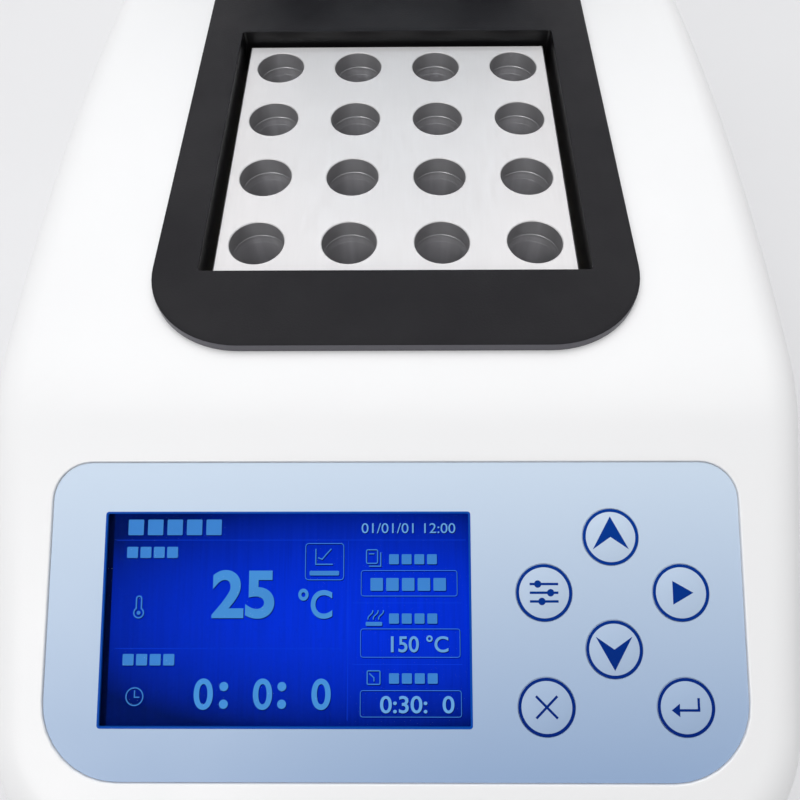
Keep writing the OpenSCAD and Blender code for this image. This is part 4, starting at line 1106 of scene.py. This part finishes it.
class DIGESTER_OT_block(bpy.types.Operator):
    """Aluminium block with its grid of wells"""

    bl_idname = "digester.block"
    bl_label = "Heating block"

    def execute(self, context):
        s = context.scene.digester_sizes
        low, high = BLOCK_LOW, BLOCK_HIGH
        r, top = s.well_d / 2, high.z
        places = (np.arange(4) - 1.5) * s.well_pitch
        half = s.well_pitch / 2
        even = np.radians(np.arange(0, 360, 7.5))
        patches, walls = [], []
        edge, step, rim = s.well_edge, s.well_step, s.block_edge
        profile = [
            (r + edge, 0), (r, edge), (r, step), (r - 0.00007, step + 0.0001),
            (r - 0.00007, step + 0.003), (r - 0.0001, step + 0.00305),
            (r - 0.0001, s.well_depth - 0.003), (r - 0.0009, s.well_depth - 0.0008),
            (r - 0.003, s.well_depth),
        ]
        for x in places:
            for y in BLOCK_MID.y + places:
                reach = [
                    min(half, high.x - rim - x), min(half, high.y - rim - y),
                    min(half, x - low.x - rim), min(half, y - low.y - rim),
                ]
                corners = [
                    math.atan2(reach[1], reach[0]), math.atan2(reach[1], -reach[2]),
                    math.atan2(-reach[3], -reach[2]), math.atan2(-reach[3], reach[0]),
                ]
                a = np.unique(np.round(np.mod(np.concatenate([even, corners]), 2 * np.pi), 7))
                cos, sin = np.cos(a), np.sin(a)
                limit_x = np.where(cos > 0, reach[0], reach[2]) / np.maximum(np.abs(cos), 1e-9)
                limit_y = np.where(sin > 0, reach[1], reach[3]) / np.maximum(np.abs(sin), 1e-9)
                far = np.minimum(limit_x, limit_y)
                radii = np.stack([far, np.full(len(a), profile[0][0])])
                ring = np.stack(
                    [x + radii * cos, y + radii * sin, np.full(radii.shape, top)], -1
                )
                patches.append(grid(ring, True))
                rings = np.array(profile)
                wall = np.stack(
                    [
                        x + rings[:, :1] * cos, y + rings[:, :1] * sin,
                        np.broadcast_to(top - rings[:, 1:], (len(rings), len(a))),
                    ],
                    -1,
                )
                walls.append(grid(wall, True))
                walls.append(cap(wall[-1]))
        points = np.concatenate([p for p, _ in patches])
        centre = np.array(BLOCK_MID[:2])
        inner = high.x - rim
        on_edge = np.abs(np.abs(points[:, :2] - centre).max(1) - inner) < 1e-6
        loop = np.unique(np.round(points[on_edge][:, :2], 7), axis=0)
        loop = loop[np.argsort(np.arctan2(loop[:, 1] - centre[1], loop[:, 0] - centre[0]))]
        wide = centre + (loop - centre) * high.x / inner
        sides = np.stack([raised(wide, low.z), raised(wide, top - rim), raised(loop, top)])
        mesh = mesh_of(
            "block",
            [*patches, grid(sides, True), cap(sides[0], up=False), *walls],
            weld=3e-6,
        )
        piece(
            "block_body", mesh, finish("block"), "base",
            ("heating_block",), sharp=30,
        )
        mesh.materials.append(finish("bore"))
        centres = vectors(mesh.polygons, "center")
        near = np.abs(centres[:, 0]) < high.x - 1e-4
        near &= np.abs(centres[:, 1] - BLOCK_MID.y) < high.x - 1e-4
        inside = near & (centres[:, 2] < top - edge * 0.9) & (centres[:, 2] > low.z + 1e-4)
        mesh.polygons.foreach_set("material_index", inside.astype(np.int32))
        return {"FINISHED"}


class DIGESTER_OT_panel(bpy.types.Operator):
    """Overlay, display window and printed line"""

    bl_idname = "digester.panel"
    bl_label = "Control panel"

    def execute(self, context):
        s = context.scene.digester_sizes
        place = panel_matrix(s)
        wx, wy = window_sides(s)
        corner, key_gap, edge = 0.0004, 0.0001, 0.00005
        loops = [
            recess_loop(s, s.overlay_gap, 14)[0],
            box_loop(wx, wy, corner),
            *[circle(k, s.key_d / 2 + key_gap, 96) for k in key_places(s)],
        ]
        mesh = moved(outline_mesh("overlay", loops, -s.overlay_t, 0.0, edge), place)
        piece(
            "overlay_film", mesh, finish("film"), "base", ("control_overlay",), 5
        )

        # the line is a printed band that lines the window's edge too
        band, lining = 0.00045, 0.00007
        wide = [box_loop(wx + [-band, band], wy + [-band, band], 0.0008), box_loop(wx, wy, corner)]
        thin = [
            box_loop(wx, wy, corner),
            box_loop(wx + [lining, -lining], wy + [lining, -lining], 0.00034),
        ]
        mesh = moved(outline_mesh("window_line", wide, 0.0, INK), place)
        piece("window_line", mesh, finish("line"), "base", sharp=5)
        mesh = moved(outline_mesh("window_lining", thin, -s.overlay_t, INK), place)
        piece("window_lining", mesh, finish("line"), "base", sharp=5)

        margin = 0.0014  # how far the lens reaches past the window
        loops = [box_loop(wx + [-margin, margin], wy + [-margin, margin], 0.0006)]
        low = -s.overlay_t - s.lens_t
        mesh = moved(outline_mesh("lens", loops, low, -s.overlay_t, edge), place)
        piece("lens_plate", mesh, finish("lens"), "base", ("display_lens",), 5)
        return {"FINISHED"}


def key_places(s):
    x, c, r = s.keys_x, s.key_column, s.key_row
    return [(x, r), (x, -r), (x - c, 0), (x + c, 0), (x - c, -2 * r), (x + c, -2 * r)]


def stroke(points, w):
    """A line of even width through points, as one loop: both sides, with mitred turns."""
    p = np.array(points, float)
    d = np.diff(p, axis=0)
    d /= np.linalg.norm(d, axis=1)[:, None]
    n = np.stack([-d[:, 1], d[:, 0]], -1)
    joint = np.concatenate([n[:1], n[:-1] + n[1:], n[-1:]])
    size = np.concatenate([[1], np.sqrt(2 / (1 + (n[:-1] * n[1:]).sum(1))), [1]])
    joint /= np.linalg.norm(joint, axis=1)[:, None]
    side = joint * (size * w / 2)[:, None]
    return np.concatenate([p + side, (p - side)[::-1]])


def key_signs():
    """The printed signs in millimetres: two arrow heads, three sliders, a start triangle,
    a cross and a return arrow, each as closed loops."""
    arrow = np.array([(0, 5.3), (-4.7, -3.2), (0, 0.0), (4.7, -3.2)])
    w = 0.62
    sliders = []
    for y, knob in ((2.2, -1.6), (0, 1.7), (-2.2, -0.6)):
        r = 0.95
        a = math.asin(w / 2 / r)
        turn = np.linspace(a, math.pi - a, 9)
        up = np.stack([knob + r * np.cos(turn), y + r * np.sin(turn)], -1)
        sliders.append(
            np.concatenate(
                [[(3.7, y - w / 2), (3.7, y + w / 2)], up,
                 [(-3.7, y + w / 2), (-3.7, y - w / 2)],
                 np.stack([knob + r * np.cos(turn[::-1]), y - r * np.sin(turn[::-1])], -1)]
            )
        )
    start = [np.array([(-2.1, 3.0), (-2.1, -3.0), (3.2, 0)])]
    q = w / 2 * math.sqrt(2)
    arm = 2.5
    cross = [np.array([
        (0, q), (arm, arm + q), (arm + q, arm), (q, 0), (arm + q, -arm), (arm, -arm - q),
        (0, -q), (-arm, -arm - q), (-arm - q, -arm), (-q, 0), (-arm - q, arm), (-arm, arm + q),
    ])]
    x, y, h = 3.2, -0.7, w / 2
    back = [np.array([
        (-3.7, y), (-1.6, y - 1.65), (-1.6, y - h), (x + h, y - h), (x + h, 2.3), (x - h, 2.3),
        (x - h, y + h), (-1.6, y + h), (-1.6, y + 1.65),
    ])]
    return [[arrow], [arrow * [1, -1]], sliders, start, cross, back]


class DIGESTER_OT_keys(bpy.types.Operator):
    """Six round keys with their printed rings and signs"""

    bl_idname = "digester.keys"
    bl_label = "Keys"

    def execute(self, context):
        s = context.scene.digester_sizes
        place = panel_matrix(s)
        # a disc on a stem: heights are from the overlay's face, e rounds the disc's edge
        r, stem, core = s.key_d / 2, 0.003, 0.0005
        top, under, end, e, margin = 0.0001, -0.0005, -0.0045, 0.0001, 0.00005
        profile = [
            (core, end), (stem, end), (stem, under), (r, under), (r, top - e),
            (r - 0.3 * e, top - 0.3 * e), (r - e, top), (core, top),
        ]
        names = ["up", "down", "set", "start", "esc", "enter"]
        for name, at, sign in zip(names, key_places(s), key_signs()):
            points, quads = revolve(profile, at, 96)
            ends = points.reshape(len(profile), -1, 3)
            mesh = mesh_of(
                "key_" + name, [(points, quads), cap(ends[0], False), cap(ends[-1])], 1e-7
            )
            body = "key_" + name
            piece(body + "_cap", moved(mesh, place), finish("film"), body, (body,), 30)
            loops = [circle(at, r - margin, 96), circle(at, r - margin - s.ring_w, 96)]
            loops += [np.array(at) + np.array(loop) * MM for loop in sign]
            mesh = moved(outline_mesh("key_print_" + name, loops, top, top + INK), place)
            piece(body + "_print", mesh, finish("ink"), body, sharp=5)
        return {"FINISHED"}


class DIGESTER_OT_display(bpy.types.Operator):
    """Lit display with plain figures, bars and signs"""

    bl_idname = "digester.display"
    bl_label = "Display"

    def execute(self, context):
        s = context.scene.digester_sizes
        place = panel_matrix(s)
        face, case_t = -0.0024, 0.0042  # front of the case, from the overlay's face
        half_w, half_h = 0.05275, 0.0336
        mid = s.recess_up - s.recess_h / 2
        wx, wy = window_sides(s)
        outer = [s.window_x - half_w, s.window_x + half_w], [mid - half_h, mid + half_h]
        inner = [wx[0] - 0.0012, wx[1] + 0.0012], [wy[0] - 0.0018, wy[1] + 0.0012]
        loops = [box_loop(*outer, 0.0006), box_loop(*inner)]
        mesh = moved(outline_mesh("display_case", loops, face - case_t, face, 0.0001), place)
        piece("display_case", mesh, finish("sheet"), "base", ("lcd_module",))

        x, y = np.array(inner[0]), np.array(inner[1])
        flat = np.stack(np.meshgrid(np.linspace(*x, 25), np.linspace(*y, 15)), -1)
        level, down = face - 0.0003, [0, 0, 0.0012]  # the picture's place and its thickness
        sheet = np.concatenate([flat, np.full((15, 25, 1), level)], -1)
        under = sheet[::-1] - down
        rim = np.stack([loop_of(sheet), loop_of(sheet) - down])[::-1]
        mesh = mesh_of("display_face", [grid(sheet), grid(under), grid(rim, True)], 1e-7)
        layer = mesh.uv_layers.new(name="face")
        corner_points = vectors(mesh.vertices, "co")
        index = np.empty(len(mesh.loops), np.int32)
        mesh.loops.foreach_get("vertex_index", index)
        uv = (corner_points[index][:, :2] - [x[0], y[0]]) / [x[1] - x[0], y[1] - y[0]]
        layer.data.foreach_set("uv", uv.astype(np.float32).ravel())
        piece("display_face", moved(mesh, place), finish("display"), "base")

        ink = level, level + INK
        signs = []

        def bar(x0, x1, y0, y1, r=0.25):
            signs.append(box_loop((x0 * MM, x1 * MM), (y0 * MM, y1 * MM), r * MM, 3))

        def hoop(x0, x1, y0, y1, w=0.14, r=0.7):
            bar(x0, x1, y0, y1, r)
            bar(x0 + w, x1 - w, y0 + w, y1 - w, r - w)

        def word(x, y, parts, size, gap):
            """A row of blocks that stands for a word."""
            for k in range(parts):
                bar(x + k * (size + gap), x + k * (size + gap) + size, y - size / 2, y + size / 2)

        def line(points, w=0.22):
            signs.append(stroke(points, w) * MM)

        # frames and pictures
        hoop(-8.9, 16.5, -1.35, 5.35)
        hoop(-9.0, 17.1, -16.9, -9.6)
        hoop(-9.0, 17.3, -31.8, -25.1)
        hoop(-23.7, -13.4, 2.8, 12.4, 0.18, 0.9)
        line([(-20.9, 10.9), (-20.9, 6.9), (-16.4, 6.9)], 0.3)
        line([(-20.3, 8.6), (-19.2, 8.2), (-18.2, 9.4), (-16.8, 10.9)], 0.3)
        bar(-22.5, -14.7, 4.0, 5.2, 0.3)
        # thermometer and clock at the left
        for r, half, head in ((1.45, 0.85, 0.85), (1.1, 0.5, 0.5)):
            a = math.asin(half / r)
            turn = np.linspace(math.pi / 2 + a, 2.5 * math.pi - a, 25)
            bulb = np.stack([-67.4 + r * np.cos(turn), -5.6 + r * np.sin(turn)], -1)
            turn = np.linspace(0, math.pi, 11)
            tip = np.stack([-67.4 + half * np.cos(turn), -2.0 + head * np.sin(turn)], -1)
            signs.append(np.concatenate([bulb, tip]) * MM)
        signs.append(circle((-67.4 * MM, -5.6 * MM), 0.5 * MM, 24))
        for r in (2.35, 2.05):
            signs.append(circle((-67.6 * MM, -26.75 * MM), r * MM, 40))
        line([(-67.6, -25.2), (-67.6, -26.9), (-66.3, -26.9)], 0.3)
        # small signs at the right: pages, rising heat, a chart
        hoop(-7.6, -4.4, 7.0, 10.8, 0.28, 0.5)
        line([(-6.8, 6.4), (-3.7, 6.4), (-3.7, 10.0)], 0.28)
        line([(-6.8, 9.6), (-5.4, 9.6)], 0.28)
        for x in (-6.5, -5.1, -3.7):
            t = np.linspace(0, 1, 9)
            line(np.stack([x - 0.5 + 1.2 * t - 0.25 * np.sin(t * 6.28), -7.3 + 2.4 * t], -1), 0.28)
        hoop(-7.6, -3.3, -8.9, -7.9, 0.24, 0.2)
        hoop(-7.3, -3.7, -23.75, -20.1, 0.28, 0.4)
        line([(-6.6, -20.9), (-5.4, -22.0), (-5.4, -22.9)], 0.28)

        def lay(name, mesh, tone):
            piece("display_" + name, moved(mesh, place), finish(tone), "base", sharp=5)

        def with_painted_shadow(name, make, tone):
            """A print, and a thinner dark copy as its painted shadow, moved down and to the right.
            """
            lay(name, make(0.0, 0.0, ink[1]), tone)
            lay(name + "_shade", make(0.16 * MM, -0.24 * MM, ink[0] + 0.4 * INK), "shade")

        def prints(loops):
            return lambda dx, dy, top: outline_mesh(
                "print", [loop + [dx, dy] for loop in loops], ink[0], top
            )

        def figures(words, x, y, bold):
            return lambda dx, dy, top: text_mesh(
                "figures", words, np.array(x) * MM + dx, np.array(y) * MM + dy,
                ink[0], top, bold * MM,
            )

        with_painted_shadow("signs", prints(signs), "glyph")
        signs.clear()
        # a heading, two labels, and three labels at the right, as rows of blocks
        word(-71.0, 16.55, 5, 4.1, 1.1)
        word(-71.1, 10.0, 4, 2.9, 0.65)
        word(-71.1, -17.5, 4, 2.9, 0.65)
        for y in (8.2, -7.05, -22.15):
            word(-1.5, y, 4, 2.6, 0.75)
        word(-6.4, 1.7, 5, 3.3, 0.85)
        with_painted_shadow("labels", prints(signs), "glyph")
        signs.clear()
        for x0, x1, y in ((-74.0, 18.9, 13.2), (-73.3, -14.0, -14.65),
                          (-11.0, 17.6, -3.05), (-11.0, 17.6, -18.65)):
            bar(x0, x1, y - 0.06, y + 0.06, 0.04)
        for y0, y1 in ((-32.6, -14.9), (-14.4, 13.0)):
            bar(-12.36, -12.24, y0, y1, 0.04)
        lay("rules", outline_mesh("rules", signs, *ink), "rule")
        for name, words, x, y, bold, tone in (
            ("date", "01/01/01 12:00", (-8.8, 16.1), (15.0, 17.6), 0.0, "value"),
            ("reading", "25", (-48.2, -31.7), (-7.1, 5.4), 0.5, "figure"),
            ("degrees", "°C", (-25.4, -16.4), (-7.1, 0.6), 0.22, "figure"),
            ("hours", "0", (-52.2, -47.2), (-30.0, -22.2), 0.2, "figure"),
            ("minutes", "0", (-36.8, -31.8), (-30.0, -22.2), 0.2, "figure"),
            ("seconds", "0", (-21.6, -16.6), (-30.0, -22.2), 0.2, "figure"),
            ("set_value", "150 °C", (-1.0, 14.0), (-15.6, -11.3), 0.08, "value"),
            ("set_time", "0:30:  0", (-3.8, 15.4), (-30.8, -26.5), 0.08, "value"),
        ):
            with_painted_shadow(name, figures(words, x, y, bold), tone)
        dots = [
            circle((x * MM, y * MM), 1.15 * MM, 32) for x in (-44.4, -29.3) for y in (-28.6, -24.2)
        ]
        with_painted_shadow("colons", prints(dots), "figure")
        return {"FINISHED"}


def loop_of(sheet):
    """The edge of a grid of points, anticlockwise."""
    return np.concatenate([sheet[0, :-1], sheet[:-1, -1], sheet[-1, :0:-1], sheet[:0:-1, 0]])


class DIGESTER_OT_base(bpy.types.Operator):
    """Base tray, feet and the fasteners under the housing"""

    bl_idname = "digester.base"
    bl_label = "Base"

    def execute(self, context):
        dressed("base_tray", finish("base"), 0.0004)
        # a foot tapers by the draft to a rounded edge of radius e, round its screw's hole
        low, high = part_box("rubber_feet")
        r, draft, hole, core, chamfer = 0.010, 0.0015, 0.003, 0.0005, 0.0004
        xs, ys = (low.x + r, high.x - r), (low.y + r, high.y - r)
        top, e, small = high.z, 0.0012, r - draft
        turn = np.radians(np.linspace(0, 90, 6))
        profile = [(core, top / 2), (hole, top / 2), (hole, chamfer), (hole + chamfer, 0)]
        profile += [(small - e + e * math.sin(t), e - e * math.cos(t)) for t in turn]
        profile += [(r - 0.0003, top - chamfer), (r, top), (core, top)]
        patches = []
        for x in xs:
            for y in ys:
                points, quads = revolve(profile, (x, y), 48)
                ends = points.reshape(len(profile), -1, 3)
                patches += [(points, quads), cap(ends[0], False), cap(ends[-1])]
        mesh = mesh_of("feet", patches, 1e-7)
        piece("feet_rubber", mesh, finish("rubber"), "base", ("rubber_feet",), 40)
        dressed("housing_screws", finish("steel"), 0.0002)
        return {"FINISHED"}


class DIGESTER_OT_inside(bpy.types.Operator):
    """Finishes of what the housing holds"""

    bl_idname = "digester.inside"
    bl_label = "Inside"

    def execute(self, context):
        plan = {
            "heater_plate": "sheet", "cartridge_heaters": "steel", "block_screws": "steel",
            "insulation_jacket": "felt", "support_plate": "sheet", "support_posts": "brass",
            "temperature_probe": "steel", "thermal_cutout": "ceramic", "key_board": "board",
            "power_board": "board", "board_spacers": "nylon", "frame_screws": "steel",
            "inlet_pins": "brass", "fuse": "glass",
        }
        for node, name in plan.items():
            mesh = frame["nodes"][node].data
            mesh.materials.clear()
            mesh.materials.append(finish(name))
        return {"FINISHED"}


class DIGESTER_OT_rear(bpy.types.Operator):
    """Rear panel with its fan, inlet and switch"""

    bl_idname = "digester.rear"
    bl_label = "Rear"

    def execute(self, context):
        for node, name, slot, width in (
            ("rear_panel", "sheet", "panel_steel", 0.0002),
            ("rear_panel_screws", "steel", "screw_steel", 0.0003),
            ("fan_frame", "fitting", "fan_black", 0.0003),
            ("fan_impeller", "fitting", "fan_black", 0.0002),
            ("fan_screws", "steel", "screw_steel", 0.0003),
            ("mains_inlet", "fitting", "inlet_black", 0.0005),
            ("fuse_drawer", "fitting", "inlet_black", 0.0003),
            ("switch_body", "fitting", "inlet_black", 0.0005),
            ("switch_rocker", "gloss_black", "rocker_black", 0.0004),
        ):
            dressed(node, finish(name), width)
        return {"FINISHED"}


class DIGESTER_OT_lid(bpy.types.Operator):
    """Clear lid with its hinges and handle"""

    bl_idname = "digester.lid"
    bl_label = "Lid"

    def execute(self, context):
        s = context.scene.digester_sizes
        x = np.array([-0.5, 0.5]) * s.lid_w
        y = -s.lid_rear - s.lid_d + np.array([0, 1]) * s.lid_d
        r, rise = s.lid_corner, s.lid_corner / 2
        top = s.lid_low + s.lid_h

        def ring(inset, z):
            return raised(rounded_loop(x, y, r, r, inset, 12)[0], z)

        between = s.lid_low + 0.02  # one more row of faces in the wall
        rows = [ring(0, s.lid_low), ring(0, between), ring(0, top - rise)]
        for t in np.radians(np.linspace(0, 90, 11))[1:]:
            rows.append(ring((r - 1e-5) * (1 - math.cos(t)), top - rise * (1 - math.sin(t))))
        rows = np.stack(rows)
        mesh = mesh_of("lid", [grid(rows, True), cap(rows[-1])], 1e-7)
        moved(mesh, Matrix.Translation(HINGE) @ Matrix.Rotation(-math.pi / 2, 4, "X"))
        obj = piece("lid_shell", mesh, finish("clear"), "lid", ("lid_cover",), 40)
        thicken(obj, s.lid_wall)
        bevel(obj, 0.0004, 60)
        for node, name, slot, width in (
            ("lid_leaves", "fitting", "hinge_black", 0.0005),
            ("hinge_brackets", "fitting", "hinge_black", 0.0005),
            ("lid_handle", "fitting", "hinge_black", 0.001),
            ("hinge_screws", "steel", "screw_steel", 0.0003),
            ("leaf_screws", "steel", "screw_steel", 0.0003),
            ("hinge_pins", "steel", "screw_steel", 0.0003),
        ):
            dressed(node, finish(name), width)
        return {"FINISHED"}


def seen_rays(nodes, links):
    """1 for rays that the camera, a reflection or clear plastic sees, 0 for light."""
    path = nodes.new("ShaderNodeLightPath")
    either = path.outputs["Is Camera Ray"]
    for kind in ("Is Glossy Ray", "Is Transmission Ray"):
        more = nodes.new("ShaderNodeMath")
        more.operation = "MAXIMUM"
        links.new(either, more.inputs[0])
        links.new(path.outputs[kind], more.inputs[1])
        either = more.outputs[0]
    return either


class DIGESTER_OT_stage(bpy.types.Operator):
    """Camera at the photograph's view, pale floor and soft lamps"""

    bl_idname = "digester.stage"
    bl_label = "Stage"

    def execute(self, context):
        st = context.scene.digester_stage
        scene = context.scene
        scene.view_settings.view_transform = "Standard"
        el, az = st.elevation, st.azimuth
        ahead = Vector((math.sin(az) * math.cos(el), math.cos(az) * math.cos(el), -math.sin(el)))
        right = ahead.cross(Vector((0, 0, 1))).normalized()
        up = right.cross(ahead)
        across = right * math.cos(st.roll) + up * math.sin(st.roll)
        upward = up * math.cos(st.roll) - right * math.sin(st.roll)
        data = bpy.data.cameras.new("camera")
        data.lens, data.sensor_width, data.clip_start = st.lens, 36, 0.01
        camera = bpy.data.objects.new("camera", data)
        scene.collection.objects.link(camera)
        turn = Matrix((across, upward, -ahead)).transposed().to_4x4()
        camera.matrix_world = Matrix.Translation(st.eye) @ turn
        scene.camera = camera

        world = bpy.data.worlds.new("studio")
        world.use_nodes = True
        scene.world = world
        nodes, links = world.node_tree.nodes, world.node_tree.links
        nodes.clear()
        light = nodes.new("ShaderNodeBackground")
        light.inputs["Color"].default_value = (1, 1, 1, 1)
        light.inputs["Strength"].default_value = st.sky
        seen = nodes.new("ShaderNodeBackground")
        seen.inputs["Color"].default_value = (*st.floor, 1)
        seen.inputs["Strength"].default_value = 1.0
        mix = nodes.new("ShaderNodeMixShader")
        out = nodes.new("ShaderNodeOutputWorld")
        links.new(seen_rays(nodes, links), mix.inputs[0])
        links.new(light.outputs[0], mix.inputs[1])
        links.new(seen.outputs[0], mix.inputs[2])
        links.new(mix.outputs[0], out.inputs[0])

        f = Finish("studio_floor", st.floor, 0.7)
        g = f.group("handling", Rough_from=0.65, Rough_to=0.75)
        f.into("Roughness", g.outputs["Roughness"])
        far = f.node("ShaderNodeVectorMath", {0: f.coordinates()}, operation="LENGTH")
        # from this distance to that, the floor passes into the backdrop
        fade = f.spread(far.outputs["Value"], 0.45, 1.3, 0.0, 1.0)
        eye = seen_rays(f.nodes, f.links)
        fade = f.node("ShaderNodeMath", {0: fade, 1: eye}, operation="MULTIPLY").outputs[0]
        glow = f.node("ShaderNodeEmission", {"Color": (*st.floor, 1), "Strength": 1.0})
        both = f.node("ShaderNodeMixShader", {0: fade, 1: f.shader.outputs[0], 2: glow.outputs[0]})
        f.links.new(both.outputs[0], f.nodes["Material Output"].inputs["Surface"])
        span = 6.0
        line = np.linspace(-span, span, 9)
        flat = np.stack(np.meshgrid(line, line), -1)
        points = np.concatenate([flat, np.zeros((9, 9, 1))], -1)
        mesh = mesh_of("floor", [grid(points)])
        mesh.materials.append(f.material)
        floor = bpy.data.objects.new("floor", mesh)
        scene.collection.objects.link(floor)

        for name, watts, size, place, aim in (
            ("softbox", st.soft, (1.5, 1.5), (0, 0.45, 1.1), (0, 0.25, 0.1)),
            ("front", st.front, (0.8, 0.8), (-0.6, -0.95, 0.95), (0, 0, 0.1)),
        ):
            lamp = bpy.data.lights.new(name, "AREA")
            lamp.shape, lamp.size, lamp.size_y, lamp.energy = "RECTANGLE", *size, watts
            holder = bpy.data.objects.new(name, lamp)
            look = Vector(aim) - Vector(place)
            holder.matrix_world = (
                Matrix.Translation(place) @ look.to_track_quat("-Z", "Y").to_matrix().to_4x4()
            )
            scene.collection.objects.link(holder)
        return {"FINISHED"}


STEPS = (
    DIGESTER_OT_housing, DIGESTER_OT_frame, DIGESTER_OT_block, DIGESTER_OT_panel,
    DIGESTER_OT_keys, DIGESTER_OT_display, DIGESTER_OT_base, DIGESTER_OT_inside,
    DIGESTER_OT_rear, DIGESTER_OT_lid, DIGESTER_OT_stage,
)


class DIGESTER_PT_panel(bpy.types.Panel):
    """Lists the steps"""

    bl_label = "Digester"
    bl_idname = "DIGESTER_PT_panel"
    bl_space_type = "VIEW_3D"
    bl_region_type = "UI"
    bl_category = "Digester"

    def draw(self, context):
        for step in STEPS:
            self.layout.operator(step.bl_idname)


CLASSES = (DigesterSizes, DigesterColours, DigesterStage, *STEPS, DIGESTER_PT_panel)
GROUPS = (
    ("digester_sizes", DigesterSizes),
    ("digester_colours", DigesterColours),
    ("digester_stage", DigesterStage),
)


def register():
    for cls in CLASSES:
        bpy.utils.register_class(cls)
    for name, group in GROUPS:
        setattr(bpy.types.Scene, name, PointerProperty(type=group))


def unregister():
    for name, _ in GROUPS:
        delattr(bpy.types.Scene, name)
    for cls in reversed(CLASSES):
        bpy.utils.unregister_class(cls)


def main():
    register()
    for step in STEPS:
        group, name = step.bl_idname.split(".")
        getattr(getattr(bpy.ops, group), name)()


if __name__ == "__main__":
    main()
